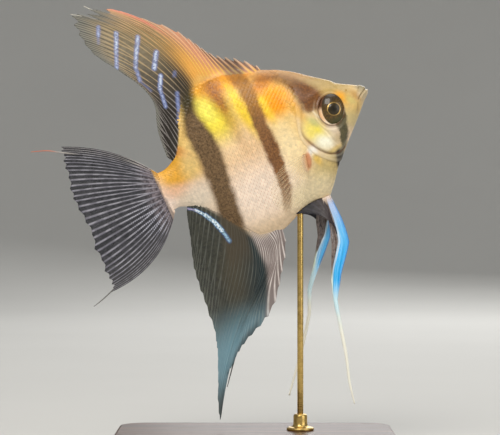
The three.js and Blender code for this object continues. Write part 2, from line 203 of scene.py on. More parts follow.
# How far a place on the head or flank stands proud of the plain body, in millimetres.
def relief(x, z):
    across, upright, orbit = from_eye(x, z)
    rise = -1.9 * (1 - ease(0.93, 1.0, orbit))
    rise += 0.12 * swell(orbit - 1.05, 0.05) - 0.08 * swell(orbit - 1.19, 0.07)
    lower_rear = ease(-0.2, 0.8, -(across * 0.75 + upright * 0.66))
    rise += lower_rear * (1 - ease(2.0, 5.0, z)) * 0.2 * swell(orbit - 1.33, 0.1)
    rise += 0.22 * swell(np.hypot((x - 59.5) / 3.2, (z - 8.6) / 1.3), 0.9) * ease(1.0, 1.15, orbit)

    far, side, along = beside(x, z, GILL_EDGE)
    inward = far * side
    lower = 0.35 + 0.65 * ease(0.25, 0.6, along)
    rise += taper(along) * lower * (0.42 * ease(-0.1, 0.4, inward) * (1 - ease(0.5, 5.5, inward)))
    rise -= taper(along) * lower * 0.34 * swell(inward + 0.2, 0.24)
    far, side, along = beside(x, z, GILL_SKIRT)
    inward = far * side
    rise += taper(along) * (0.2 * ease(-0.15, 0.5, inward) * (1 - ease(0.6, 2.6, inward)))
    rise -= taper(along) * 0.16 * swell(inward + 0.25, 0.3)

    far, _, along = beside(x, z, CHEEK_RIDGE)
    rise += taper(along, 0.25, 0.25) * 0.24 * swell(far, 0.55)
    far, side, along = beside(x, z, CHEEK_CREASE)
    rise -= taper(along, 0.25, 0.25) * 0.12 * swell(far, 0.3)
    rise += taper(along, 0.25, 0.25) * 0.12 * swell(far * side + 0.6, 0.5)

    far, _, along = beside(x, z, MOUTH)
    rise -= 0.3 * swell(far, 0.2) * ease(0, 0.16, 1 - along)
    rise += 0.22 * swell(far - 0.62, 0.42) * ease(0, 0.3, 1 - along)
    for fold, start, end, depth, width in (
        (UPPER_LIP_FOLD, 0.12, 0.12, 0.17, 0.22), (LOWER_LIP_FOLD, 0.1, 0.3, 0.12, 0.2),
        (JAW_FOLD, 0.2, 0.4, 0.16, 0.26), *((fold, 0.2, 0.25, 0.1, 0.24) for fold in CHIN_FOLDS),
    ):
        far, _, along = beside(x, z, fold)
        rise -= taper(along, start, end) * depth * swell(far, width)

    pit = np.hypot(x - NOSTRIL_X, z - NOSTRIL_Z)
    rise += 0.12 * swell(pit - 0.42, 0.16) - 0.45 * swell(pit, 0.24)
    across, upright = turned_from(x, z, LOBE_X, LOBE_Z, LOBE_TURN)
    lobe = np.hypot(across / 1.15, upright / 3.0)
    rise += 0.55 * (1 - ease(0.35, 1.15, lobe)) - 0.12 * swell(lobe - 1.3, 0.15)
    rise += 0.5 * swell(np.hypot((x - 47.4) / 2.6, (z + 23.6) / 1.6), 1)
    return rise


# Where the scaly coat lies, and so where the skin keeps below it. It ends behind the gill cover.
COAT_FRONT = through([
    (-30, 56), (-18, 58), (-15, 57), (-13.2, 53.8), (-10.6, 51.1), (-7.6, 49.2), (-3.1, 47.9),
    (0.6, 48.4), (4.6, 49.6), (8.6, 51), (11, 52.2), (14, 52.4), (20, 50.5), (40, 48),
])


def scaled(x, z):
    return 1 - ease(-1.6, 0.3, x - COAT_FRONT(z))


# Painted shade in the head's folds and creases, and painted highlight on its ridges and rims: how strongly
# each shows at a place.
def head_shade_and_highlight(x, z):
    across, upright, orbit = from_eye(x, z)
    low_rear = ease(-0.25, 0.7, -(across * 0.7 + upright * 0.7) / np.maximum(orbit, 0.1))
    dark = (0.3 + 0.6 * low_rear) * swell(orbit - 1.05, 0.05)
    dark = dark + 0.3 * low_rear * swell(orbit - 1.18, 0.08)
    painted_highlight = 0.2 * ease(0.2, 0.9, low_rear) * swell(orbit - 1.34, 0.07)
    for line, shift, width, start, end, strength in (
        (GILL_EDGE, 0.28, 0.24, 0.6, 0.1, 0.85), (GILL_EDGE, 0.2, 0.5, 0.05, 0.6, 0.22),
        (GILL_SKIRT, 0.3, 0.4, 0.2, 0.2, 0.18), (CHEEK_CREASE, 0, 0.3, 0.3, 0.3, 0.18),
        (MOUTH, 0, 0.22, 0.001, 0.2, 0.22), (JAW_FOLD, 0, 0.4, 0.3, 0.4, 0.3),
        (UPPER_LIP_FOLD, 0, 0.3, 0.3, 0.3, 0.15),
    ):
        far, side, along = beside(x, z, line)
        shown = strength * taper(along, start, end)
        dark = np.maximum(dark, shown * swell(far * side + shift, width))
    for line, shift, width, strength in (
        (CHEEK_RIDGE, 0, 0.42, 0.8), (GILL_EDGE, 1.0, 0.4, 0.35), (GILL_SKIRT, -0.7, 0.5, 0.4),
    ):
        far, side, along = beside(x, z, line)
        shown = strength * taper(along, 0.3, 0.3)
        painted_highlight = np.maximum(painted_highlight, shown * swell(far * side + shift, width))
    return dark, painted_highlight


def read_all(collection, name, width, kind=float):
    found = np.empty(len(collection) * width, np.float32 if kind is float else np.int32)
    collection.foreach_get(name, found)
    return (found.reshape(-1, width) if width > 1 else found).astype(kind)


def cast(bm, name):
    mesh = bpy.data.meshes.new(name)
    bm.to_mesh(mesh)
    bm.free()
    return mesh


def set_points(mesh, places):
    mesh.vertices.foreach_set("co", places.astype(np.float32).ravel())


def set_values(mesh, label, values):
    layer = mesh.attributes.new(label, "FLOAT", "POINT")
    layer.data.foreach_set("value", values.astype(np.float32))


def show(name, mesh, paint):
    piece = bpy.data.objects.new(name, mesh)
    bpy.context.collection.objects.link(piece)
    mesh.materials.clear()
    mesh.materials.append(paint)
    mesh.polygons.foreach_set("use_smooth", np.ones(len(mesh.polygons), bool))
    return piece


def recalculated(mesh):
    bm = bmesh.new()
    bm.from_mesh(mesh)
    bmesh.ops.recalc_face_normals(bm, faces=bm.faces)
    bm.to_mesh(mesh)
    bm.free()
    mesh.update()


bm = bmesh.new()
bmesh.ops.create_uvsphere(bm, u_segments=SKIN_ROUND, v_segments=SKIN_ROWS, radius=1)
skin_mesh = cast(bm, "skin")
ball = read_all(skin_mesh.vertices, "co", 3)
share = np.arccos(np.clip(ball[:, 2], -1, 1)) / math.pi
angle = np.arctan2(ball[:, 1], ball[:, 0])
at_pole = (share < 0.5 / SKIN_ROWS) | (share > 1 - 0.5 / SKIN_ROWS)
x = SNOUT_X - (SNOUT_X - BODY_END_X) * through(ROW_PLACES)(share)
height = np.where(at_pole, 0, np.cos(angle))
top, bottom = back_line(x), belly_line(x)
side = np.where(at_pole | (np.abs(np.sin(angle)) < 1e-6), 0, np.sign(np.sin(angle)))
z = (top + bottom) / 2 + height * (top - bottom) / 2
y = side * half_width(x, height) * np.where(x < 0, 1 - 0.7 * ease(0, 0.9, -x), 1)
plain = np.stack([x, y, z], 1)
set_points(skin_mesh, plain)
recalculated(skin_mesh)
normals = read_all(skin_mesh.vertices, "normal", 3)
proud = relief(x, z) - COAT_DEPTH * scaled(x, z)
worked = plain + normals * proud[:, None]
set_points(skin_mesh, worked)
skin_mesh.transform(STANCE)
skin_mesh.update()
# The skin carries the head's painted shade in its folds and painted highlight on its ridges.
for label, values in zip(("fold", "ridge_highlight"), head_shade_and_highlight(x, z)):
    set_values(skin_mesh, label, values)

corner = read_all(skin_mesh.loops, "vertex_index", 1, int)
round_share = (angle / (2 * math.pi) + 0.5)[corner]
down_share = share[corner]
starts = read_all(skin_mesh.polygons, "loop_start", 1, int)
totals = read_all(skin_mesh.polygons, "loop_total", 1, int)
for begin, total in zip(starts, totals):
    own = round_share[begin : begin + total]
    free = ~at_pole[corner[begin : begin + total]]
    if own[free].max() - own[free].min() > 0.5:
        own[own < 0.5] += 1
    if not free.all():
        own[~free] = own[free].mean()
unwrap = skin_mesh.uv_layers.new(name="OFBake")
laid_out = MAP_MARGIN + MAP_SPAN * np.stack([round_share, down_share], 1)
unwrap.data.foreach_set("uv", laid_out.astype(np.float32).ravel())


# Lays out the nodes of a paint or of a shared effect.
class Palette:
    def __init__(self, tree):
        self.tree = tree

    def node(self, kind, feeds=None, **settings):
        made = self.tree.nodes.new("ShaderNode" + kind)
        for name, value in settings.items():
            setattr(made, name, value)
        for socket, value in (feeds or {}).items():
            self.feed(made.inputs[socket], value)
        return made

    def feed(self, socket, value):
        if isinstance(value, bpy.types.NodeSocket):
            self.tree.links.new(value, socket)
        else:
            socket.default_value = value

    def calc(self, operation, *values, clamp=False):
        made = self.node("Math", operation=operation, use_clamp=clamp)
        for i, value in enumerate(values):
            self.feed(made.inputs[i], value)
        return made.outputs[0]

    def times(self, *values):
        return self.calc("MULTIPLY", *values)

    def plus(self, *values):
        return self.calc("ADD", *values)

    def minus(self, *values):
        return self.calc("SUBTRACT", *values)

    def vector(self, operation, *values, out=0, **feeds):
        places = dict(enumerate(values)) | feeds
        return self.node("VectorMath", places, operation=operation).outputs[out]

    def ramp(self, value, low, high, to_low=0.0, to_high=1.0, kind="SMOOTHSTEP"):
        made = self.node("MapRange", interpolation_type=kind)
        for i, given in enumerate((value, low, high, to_low, to_high)):
            self.feed(made.inputs[i], given)
        return made.outputs[0]

    def mix(self, share, under, over, blend="MIX"):
        made = self.node("Mix", data_type="RGBA", blend_type=blend)
        for i, given in ((0, share), (6, under), (7, over)):
            self.feed(made.inputs[i], given)
        return made.outputs[2]

    def noise(self, place, scale, detail=2.0, rough=0.5):
        feeds = {"Vector": place, "Scale": scale, "Detail": detail, "Roughness": rough}
        return self.node("TexNoise", feeds).outputs[0]

    def curve(self, value, low, high, pairs, least, most):
        made = self.node("FloatCurve", {"Value": self.ramp(value, low, high, kind="LINEAR")})
        points = made.mapping.curves[0].points
        places = [((a - low) / (high - low), (b - least) / (most - least)) for a, b in pairs]
        for point, place in zip(points, (places[0], places[-1])):
            point.location = place
        for place in places[1:-1]:
            points.new(*place)
        made.mapping.update()
        return self.ramp(made.outputs[0], 0.0, 1.0, least, most, kind="LINEAR")

    def effect(self, tree, feeds):
        return self.node("Group", feeds, node_tree=tree).outputs

    # Where a place is on its own piece, and a value painted on the mesh there.
    def here(self):
        return self.node("TexCoord").outputs["Object"]

    def painted(self, label):
        return self.node("Attribute", attribute_name=label).outputs["Fac"]

    # A colour laid over another where all the masks show.
    def wash(self, under, code, *masks):
        share = masks[0] if len(masks) == 1 else self.times(*masks)
        return self.mix(share, under, ink(code))

    # A colour made lighter or darker all round.
    def shade(self, under, value):
        grey = self.node("CombineColor", {0: value, 1: value, 2: value}).outputs[0]
        return self.mix(1.0, under, grey, "MULTIPLY")

    # The surface of a paint: its roughness, and the strength, depth and height of its fine relief.
    def surface(self, shader, rough, bump, specular=None, coat=None):
        strength, depth, height = bump
        made = self.node("Bump", {"Strength": strength, "Distance": depth, "Height": height})
        self.feed(shader.inputs["Normal"], made.outputs[0])
        self.feed(shader.inputs["Roughness"], rough)
        if specular is not None:
            shader.inputs["Specular IOR Level"].default_value = specular
        if coat is not None:
            for socket, value in zip(("Coat Weight", "Coat Roughness"), coat):
                shader.inputs[socket].default_value = value


def ink(code):
    parts = [int(code[i : i + 2], 16) / 255 for i in (0, 2, 4)]
    return (*[c / 12.92 if c <= 0.04045 else ((c + 0.055) / 1.055) ** 2.4 for c in parts], 1)


def new_paint(name):
    paint = bpy.data.materials.new(name)
    paint.use_nodes = True
    return paint, Palette(paint.node_tree), paint.node_tree.nodes["Principled BSDF"]


def effect_tree(name, inputs, outputs):
    tree = bpy.data.node_groups.new(name, "ShaderNodeTree")
    for side, sockets in (("INPUT", inputs), ("OUTPUT", outputs)):
        for label, kind in sockets.items():
            tree.interface.new_socket(label, in_out=side, socket_type="NodeSocket" + kind)
    palette = Palette(tree)
    given = tree.nodes.new("NodeGroupInput").outputs
    taken = tree.nodes.new("NodeGroupOutput").inputs
    return tree, palette, given, taken


# A soft-edged oval of pigment.
soft_patch, palette, given, taken = effect_tree(
    "soft_patch",
    {"Place": "Vector", "Centre": "Vector", "Turn": "Vector", "Size": "Vector", "Edge": "Float"},
    {"Mask": "Float"},
)
local = palette.node(
    "Mapping",
    {
        "Vector": given["Place"], "Location": given["Centre"], "Rotation": given["Turn"],
        "Scale": given["Size"],
    },
    vector_type="TEXTURE",
).outputs[0]
reach = palette.vector("LENGTH", local, out="Value")
inner = palette.minus(1.0, given["Edge"])
outer = palette.plus(1.0, given["Edge"])
palette.feed(taken["Mask"], palette.ramp(reach, inner, outer, 1.0, 0.0))


def oval(palette, place, centre, size, turn, edge):
    return palette.effect(soft_patch, {
        "Place": place, "Centre": (centre[0], 0, centre[1]), "Turn": (0, math.radians(turn), 0),
        "Size": (size[0], 1000, size[1]), "Edge": edge,
    })[0]


# A brush stroke of pigment between two places.
stroke, palette, given, taken = effect_tree(
    "stroke",
    {"Place": "Vector", "From": "Vector", "To": "Vector", "Width": "Float", "Edge": "Float"},
    {"Mask": "Float"},
)
reach = palette.vector("SUBTRACT", given["Place"], given["From"])
length = palette.vector("SUBTRACT", given["To"], given["From"])
along = palette.vector("DOT_PRODUCT", reach, length, out="Value")
whole = palette.vector("DOT_PRODUCT", length, length, out="Value")
part = palette.calc("DIVIDE", along, whole, clamp=True)
nearest = palette.vector("SCALE", length, Scale=part)
away = palette.vector("DISTANCE", reach, nearest, out="Value")
palette.feed(
    taken["Mask"],
    palette.ramp(away, given["Width"], palette.plus(given["Width"], given["Edge"]), 1.0, 0.0),
)

# Where a place is on the level fish, in millimetres, with its side-to-side distance left out.
fish_place, palette, given, taken = effect_tree(
    "fish_place", {"Object": "Vector"}, {"Place": "Vector", "X": "Float", "Z": "Float", "Full": "Vector"}
)
level = palette.node(
    "Mapping",
    {"Vector": given["Object"], "Location": TAIL_BASE, "Rotation": (0, -PITCH, 0), "Scale": (0.001,) * 3},
    vector_type="TEXTURE",
).outputs[0]
split = palette.node("SeparateXYZ", {0: level}).outputs
palette.feed(taken["X"], split[0])
palette.feed(taken["Z"], split[2])
palette.feed(taken["Full"], level)
flat_place = palette.node("CombineXYZ", {0: split[0], 1: 0.0, 2: split[2]}).outputs[0]
palette.feed(taken["Place"], flat_place)

# The living colours of the flank: a cream ground, gold above, four dark bars and the head's marks, with a
# painted highlight at the pectoral base.
BAR_SPAN = (-30.0, 70.0)
PATCHES = [
    # colour, centre x z, size x z, turn, edge, strength
    ("f3dccb", (1.2, -3.4), (3.4, 5.6), 0, 0.7, 0.9),
    ("f7e2d2", (0.4, 0.2), (1.8, 5.6), 0, 0.6, 0.8),
    ("efc795", (34, -2), (16, 12), 10, 0.9, 0.85),
    ("ffebd8", (29, -13), (16, 9), 0, 0.8, 0.95),
    ("dcc2a0", (30, -26.5), (20, 4), 0, 0.7, 0.75),
    ("fddcae", (26, 5), (6.5, 4.5), 0, 0.8, 0.8),
    ("fbe444", (25, 16.6), (6.2, 8.6), -14, 0.65, 0.95),
    ("fdf268", (24.0, 19.6), (2.5, 5.2), -12, 0.7, 0.9),
    ("d98516", (37.4, 25.6), (12, 4.2), -6, 0.6, 0.95),
    ("ea9f1e", (25, 26.6), (6, 2.4), 10, 0.8, 0.8),
    ("fad22e", (35.2, 14.2), (2.2, 9), -8, 0.7, 0.9),
    ("e2a42c", (7, 5), (9, 6.5), 35, 0.55, 0.95),
    ("e0903c", (10.4, 10.5), (5.5, 1.6), 45, 0.6, 0.8),
    ("e6ca86", (12.4, 5.4), (3.4, 6), 20, 0.7, 0.75),
    ("eabb9c", (6.5, -1.6), (8, 2.2), 14, 0.8, 0.75),
    ("e6d8c4", (8.5, -6.6), (9, 4.8), -30, 0.6, 0.85),
    ("f8d282", (45.2, 4), (4.2, 16), -6, 0.6, 0.9),
    ("ffe8b8", (44.4, -5), (4.2, 10), -4, 0.7, 0.85),
    ("ffa800", (45.2, 12.6), (5.8, 5.4), -10, 0.6, 1.0),
    ("f59200", (47.4, 11.8), (2.8, 3.2), -24, 0.8, 0.8),
    ("e8a03c", (50.4, 8.4), (1.6, 4.6), -24, 0.7, 0.8),
    ("fdd23a", (41.9, 12.0), (1.5, 5.2), -10, 0.7, 0.85),
    ("c97a20", (46, 20.4), (8, 3), -24, 0.7, 0.9),
    ("ddb082", (49.2, 22.4), (4.5, 1.5), 20, 0.8, 0.65),
    ("ad925c", (61, 13), (9, 3.6), 37, 0.7, 0.95),
    ("bd8f5e", (54, 18.5), (8, 2.4), 26, 0.7, 0.8),
    ("b99b5a", (66.2, 7), (6.5, 4.6), 36, 0.7, 0.85),
    ("f7a810", (66.5, 3.4), (1.6, 2.8), -26, 0.8, 1.0),
    ("dcb868", (68.4, -0.4), (3.6, 4), 40, 0.7, 0.9),
    ("ccc070", (68.6, 2.2), (0.9, 1.7), -30, 0.9, 0.6),
    ("b5813c", (71.0, 2.5), (0.9, 2.3), -24, 0.9, 0.6),
    ("cfbb82", (66.6, -4.2), (3.2, 2.6), 40, 0.8, 0.85),
    ("b9a884", (74.2, 3.6), (2.0, 3.8), 25, 0.6, 0.85),
    ("7f7350", (74.2, 4.9), (2.0, 1.4), 20, 0.8, 0.85),
    ("f2d69c", (55.4, 1), (3.6, 7), 12, 0.6, 0.8),
    ("eebc58", (51.2, 5.2), (1.3, 5), -20, 0.8, 0.7),
    ("fbe672", (53.6, -2.8), (3.0, 4.4), -24, 0.6, 0.95),
    ("fbe850", (55.6, -3.6), (1.2, 2.4), -30, 0.9, 0.75),
    ("b9bc7c", (54.5, 0.5), (1.0, 2.0), -34, 0.9, 0.7),
    ("f6e2c8", (59.2, -4.6), (2.0, 3.4), 20, 0.7, 0.9),
    ("fffae0", (55.2, -7.3), (2.6, 3.4), -52, 0.7, 1.0),
    ("fae6b0", (57.2, -4.4), (1.1, 2.0), -30, 0.9, 0.7),
    ("c4ab78", (59.3, -7.7), (1.5, 2.2), 20, 0.9, 0.7),
    ("c4925c", (50.4, -5.8), (0.8, 2.2), -30, 0.9, 0.6),
    ("e0c078", (57.6, -10.5), (2.8, 0.9), -10, 0.7, 0.85),
    ("cdb268", (55.6, -15.6), (7, 5), 45, 0.6, 0.8),
    ("a08c62", (56.3, -13.1), (1.5, 1.2), 0, 0.9, 0.6),
    ("cdb878", (50.2, -16.4), (4, 4), 0, 0.8, 0.7),
    ("ead9b0", (45, -20.5), (9, 5), 0, 0.6, 0.85),
    # A painted highlight: the white glint at the root of the pectoral fin.
    ("fffaf0", (50.2, -8.1), (1.5, 1.8), 0, 0.6, 1.0),
    ("ebc563", (50.5, -10.9), (1.1, 2.2), -14, 0.7, 0.9),
]
STROKES = [
    ("352c20", (58.3, -12.4), (57.2, -15.8), 0.9, 1.2, 1.0),
    ("573c10", (64.4, 0.8), (64.3, -1.6), 0.45, 0.9, 0.75),
    ("8d8468", (59.4, -11.4), (61.6, -10.2), 0.4, 1.1, 0.6),
]
BARS = [
    # name, colour, deep colour, centre x by z, half-width by z, strength by z, edge
    ("rear", "866a4a", "52402a",
     [(-30, 13.8), (-19.6, 16), (-10.5, 17.6), (-1, 18.6), (8.7, 19.0), (15, 18.5), (20, 18.7),
      (25, 19.9), (30, 20.9), (40, 19), (50, 15), (70, 8)],
     [(-30, 4.2), (-19.6, 4.0), (-10.5, 3.5), (-1, 3.8), (8.7, 4.0), (15, 3.5), (20, 2.8), (27, 2.6),
      (36, 2.4), (70, 1.6)],
     [(-30, 1), (24, 1), (34, 0.9), (45, 0.3), (56, 0), (70, 0)], 1.25),
    ("middle", "99693e", "66442a",
     [(-30, 33), (-21, 35.2), (-17.4, 36.6), (-8.2, 38), (-0.4, 38.4), (7.6, 38.4), (19, 39.0),
      (26, 38), (40, 36), (70, 30)],
     [(-30, 0.8), (-23, 1.2), (-17.4, 1.8), (-8.2, 2.1), (-0.4, 2.4), (7.6, 2.2), (19, 2.5), (30, 2.6),
      (70, 2)],
     [(-30, 0), (-25.5, 0), (-21.5, 0.5), (-16, 0.88), (-8, 1), (9, 0.95), (16, 0.92), (22, 0.92),
      (27, 0.75), (33, 0.2), (38, 0), (70, 0)], 0.8),
    ("half", "b47218", "864a08",
     [(-30, 31), (-6, 31.5), (5.5, 30.3), (15, 29.9), (22, 29.2), (28, 28.6), (40, 25), (70, 18)],
     [(-30, 1), (-6, 1.6), (5.5, 1.6), (15, 2), (24, 2.2), (30, 1.6), (70, 1)],
     [(-30, 0), (-6, 0), (3, 0.2), (10, 0.4), (14, 0.55), (19, 0.95), (25, 1), (28, 0.4), (34, 0),
      (70, 0)], 1.5),
    ("nape", "824e1a", "5e360e",
     [(-30, 56), (3, 56.2), (4.3, 56.6), (7, 57.0), (11, 55.8), (15, 53.6), (19, 50), (21.5, 45),
      (30, 42), (70, 40)],
     [(-30, 1), (3, 2.2), (4.3, 2.9), (7, 4.2), (11, 3.6), (15, 2.9), (19, 2.8), (21.5, 3.2), (30, 3),
      (70, 3)],
     [(-30, 0), (1.6, 0), (4, 0.8), (6.5, 1), (12, 1), (16, 0.8), (20, 0.55), (23, 0.2), (25, 0),
      (70, 0)], 1.6),
    ("cheek", "675d3c", "4a452c",
     [(-30, 57), (-13, 58.6), (-10.7, 60.3), (-7, 62.2), (-3.2, 63), (-1, 63.4), (10, 64), (70, 64)],
     [(-30, 0.4), (-13, 0.7), (-10.7, 0.9), (-7, 1.6), (-3.2, 1.9), (0, 2), (70, 2)],
     [(-30, 0), (-14.5, 0), (-12.5, 0.7), (-10, 1), (0.5, 1), (2, 0), (70, 0)], 0.55),
]
# The colour that a bar takes on at its top, and the heights between which it does.
BAR_TOPS = {"rear": (17.0, 25.0, "3c351c"), "middle": (8.0, 16.0, "9a6722")}
living_colours_and_highlight, palette, given, taken = effect_tree(
    "living_colours_and_highlight", {"Object": "Vector"}, {"Colour": "Color", "Pigment": "Float", "Silver": "Float"}
)
spot = palette.effect(fish_place, {"Object": given["Object"]})
freckle = palette.noise(spot["Full"], 2.6, 3, 0.6)
drift = palette.noise(spot["Full"], 0.35, 2, 0.5)
place_x = spot["X"]
for unevenness, reach in ((drift, 1.6), (freckle, 1.1)):
    place_x = palette.plus(place_x, palette.times(palette.minus(unevenness, 0.5), reach))
colour = palette.wash(ink("efd2ae"), "f0c878", palette.ramp(spot["Z"], -4.0, 12.0))
for code, centre, size, turn, edge, strength in PATCHES:
    mask = oval(palette, spot["Place"], centre, size, turn, edge)
    colour = palette.wash(colour, code, mask, strength)
pigment = 0.0
softness = palette.ramp(spot["Z"], 9.0, 22.0, 1.0, 1.5)
blotch = palette.noise(spot["Full"], 1.5, 4, 0.65)
for name, code, deep, centres, widths, strengths, edge in BARS:
    centre = palette.curve(spot["Z"], *BAR_SPAN, centres, 0.0, 70.0)
    width = palette.curve(spot["Z"], *BAR_SPAN, widths, 0.0, 5.0)
    strength = palette.curve(spot["Z"], *BAR_SPAN, strengths, 0.0, 1.0)
    off = palette.calc("ABSOLUTE", palette.minus(place_x, centre))
    fade = palette.times(softness, edge)
    start = palette.minus(width, fade)
    end = palette.plus(width, fade)
    mask = palette.times(palette.ramp(off, start, end, 1.0, 0.0), strength)
    shade = palette.wash(ink(deep), code, palette.ramp(blotch, 0.28, 0.7))
    if name in BAR_TOPS:
        from_z, to_z, top_code = BAR_TOPS[name]
        shade = palette.wash(shade, top_code, palette.ramp(spot["Z"], from_z, to_z))
    colour = palette.mix(mask, colour, shade)
    pigment = palette.calc("MAXIMUM", pigment, mask)
tail_root = palette.ramp(palette.plus(place_x, palette.times(spot["Z"], 0.03)), 0.3, -0.4)
colour = palette.wash(colour, "8a7a78", tail_root, 0.7)
for code, start, end, width, edge, strength in STROKES:
    mask = palette.effect(stroke, {
        "Place": spot["Place"], "From": (start[0], 0, start[1]), "To": (end[0], 0, end[1]),
        "Width": width, "Edge": edge,
    })[0]
    colour = palette.wash(colour, code, mask, strength)
mask = oval(palette, spot["Place"], (47.75, -10.2), (0.95, 2.7), LOBE_TURN, 0.35)
colour = palette.wash(colour, "cf8a5e", mask, 0.95)
mottle = palette.ramp(palette.noise(spot["Full"], 0.9, 4, 0.62), 0.3, 0.75, 0.90, 1.06)
colour = palette.shade(colour, mottle)
palette.feed(taken["Colour"], colour)
palette.feed(taken["Pigment"], pigment)
silver = oval(palette, spot["Place"], (55.2, -6), (3.6, 6), -40, 0.6)
palette.feed(taken["Silver"], silver)

skin_paint, palette, shader = new_paint("angelfish_skin")
place = palette.here()
colours = palette.effect(living_colours_and_highlight, {"Object": place})
fold = palette.painted("fold")
ridge_highlight = palette.painted("ridge_highlight")
# Painted highlight on the head's ridges, then painted shade in its folds.
colour = palette.wash(colours["Colour"], "f4e6c8", ridge_highlight, 0.8)
colour = palette.wash(colour, "6a4426", fold)
palette.feed(shader.inputs["Base Color"], colour)
palette.feed(shader.inputs["Metallic"], palette.times(colours["Silver"], 0.22))
pores = palette.noise(place, 3200, 3, 0.6)
wrinkle = palette.noise(place, 900, 3, 0.55)
rough = palette.ramp(wrinkle, 0.3, 0.7, 0.34, 0.5, "LINEAR")
creases = palette.plus(wrinkle, palette.times(pores, 0.4))
palette.surface(shader, rough, (0.35, 0.00012, creases), specular=0.35, coat=(0.18, 0.16))

skin = show("skin", skin_mesh, skin_paint)
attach(skin, "root")
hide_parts("head", "lower_jaw", "gill_cover_right", "gill_cover_left", "trunk", "tail_stalk")

# ---- Eyes ----
# Each eye is a glass ball set behind the rim of the orbit: a dark iris with a thin gold ring round
# the pupil, and a pale crescent of white showing low at the back. The cornea is polished.
EYE_SIDEWAYS, EYE_ACROSS, EYE_UPRIGHT, EYE_DEEP = 3.75, 4.75, 5.5, 2.9
PUPIL_X, PUPIL_Z = 62.35, 1.6

iris_paint, palette, shader = new_paint("angelfish_eye")
spot = palette.effect(fish_place, {"Object": palette.here()})
grain = palette.noise(spot["Full"], 1.6, 4, 0.6)
from_pupil = palette.vector("SUBTRACT", spot["Place"], (PUPIL_X, 0, PUPIL_Z))
radius = palette.vector("LENGTH", from_pupil, out="Value")
radius = palette.plus(radius, palette.times(palette.minus(grain, 0.5), 0.25))
parts = palette.node("SeparateXYZ", {0: from_pupil}).outputs
bearing = palette.calc("ARCTAN2", parts[2], parts[0])
round_it, out_from_it = palette.times(bearing, 3.2), palette.times(radius, 0.35)
streak_place = palette.node("CombineXYZ", {0: round_it, 1: out_from_it, 2: 0.0}).outputs[0]
streaks = palette.noise(streak_place, 2.4, 3, 0.65)
colour = palette.wash(ink("42300f"), "6c501f", palette.ramp(streaks, 0.35, 0.68))
colour = palette.wash(colour, "352814", palette.ramp(parts[2], 0.5, 4.5))
colour = palette.wash(colour, "474420", palette.ramp(parts[2], -1.5, -4.2))
iris = oval(palette, spot["Place"], (62.1, 1.8), (3.65, 5.15), 16, 0.035)
white = palette.wash(ink("fbd8b2"), "fff8ee", palette.ramp(parts[2], -1.0, -3.4))
upper = palette.ramp(palette.plus(parts[2], palette.times(parts[0], 0.5)), -1.0, 1.0)
white = palette.wash(white, "6b4630", upper)
colour = palette.mix(iris, white, colour)
ring = palette.times(palette.ramp(radius, 1.86, 2.02), palette.ramp(radius, 2.12, 2.36, 1.0, 0.0))
facing = palette.calc("ABSOLUTE", palette.calc("SINE", palette.plus(bearing, 0.85)))
bright = palette.ramp(facing, 0.2, 0.95, 1.0, 0.35)
colour = palette.wash(colour, "dcb468", ring, bright)
pupil = palette.ramp(radius, 1.86, 2.0, 1.0, 0.0)
dark = palette.wash(ink("1a160c"), "33280f", palette.ramp(radius, 0.0, 1.8))
colour = palette.mix(pupil, colour, dark)
palette.feed(shader.inputs["Base Color"], colour)
palette.feed(shader.inputs["Metallic"], palette.times(ring, 0.55))
rough = palette.ramp(streaks, 0.2, 0.8, 0.28, 0.42, "LINEAR")
palette.surface(shader, rough, (0.25, 0.00008, streaks), specular=0.25, coat=(0.4, 0.03))

for hand, sign in (("right", -1), ("left", 1)):
    bm = bmesh.new()
    upright_poles = Matrix.Rotation(math.pi / 2, 4, "X")
    bmesh.ops.create_uvsphere(bm, u_segments=72, v_segments=48, radius=1, matrix=upright_poles)
    for vert in bm.verts:
        outward = max(vert.co.y * sign, 0)
        reach = math.hypot(vert.co.x * EYE_ACROSS - 0.6, vert.co.z * EYE_UPRIGHT + 0.4)
        lens_rise = 0.14 * (1 - ease(1.5, 2.1, reach)) if outward > 0 else 0
        vert.co.y = vert.co.y * EYE_DEEP + sign * lens_rise
        vert.co.x *= EYE_ACROSS
        vert.co.z *= EYE_UPRIGHT
    bmesh.ops.transform(bm, matrix=Matrix.Rotation(math.radians(EYE_TURN), 4, "Y"), verts=bm.verts)
    bmesh.ops.translate(bm, vec=(EYE_X, sign * EYE_SIDEWAYS, EYE_Z), verts=bm.verts)
    bmesh.ops.transform(bm, matrix=STANCE, verts=bm.verts)
    bmesh.ops.recalc_face_normals(bm, faces=bm.faces)
    eye = show("eyeball_" + hand, cast(bm, "eye_" + hand + "_ball"), iris_paint)
    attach(eye, "root")
    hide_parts("eye_" + hand)

# ---- Scales ----
# Small thin overlapping plates of clear horn in slanting rows, each rooted ahead under its
# neighbour with its round rear edge free. Rows close up towards the head, the tail and the keels.
SCALE_STEP = through([(-2, 0.72), (5, 0.86), (12, 1.12), (20, 1.32), (42, 1.34), (49, 1.12), (59, 0.86)])
ROW_CLOSING = through([(-2, 0.55), (5, 0.64), (12, 0.84), (20, 0.98), (42, 1), (50, 0.84), (59, 0.66)])
ROW_CENTRE = through([(-2, 0), (10, 0), (30, 0.2), (45, -1), (59, 0)])
ROW_HEIGHT = 1.6
SCALE_RIM, SCALE_CROWN = 12, 6


def flank_place(x, z):
    top, bottom = back_line(x), belly_line(x)
    height = np.clip((z - (top + bottom) / 2) / ((top - bottom) / 2), -0.9999, 0.9999)
    return half_width(x, height)


# Along the dorsal and anal fins the flanks sweep out onto the feet of the fins, and the coat climbs
# a little way up them. A foot's half thickness at a place, and how far that place is past the keel.
FOOT_DEPTH, FOOT_SWEEP = 1.3, 1.8
FIN_FEET = {"dorsal": (back_line, 1, 6.8, 46.4), "anal": (belly_line, -1, 5.4, 31.2)}
keel_run = np.linspace(0, 56, 90)


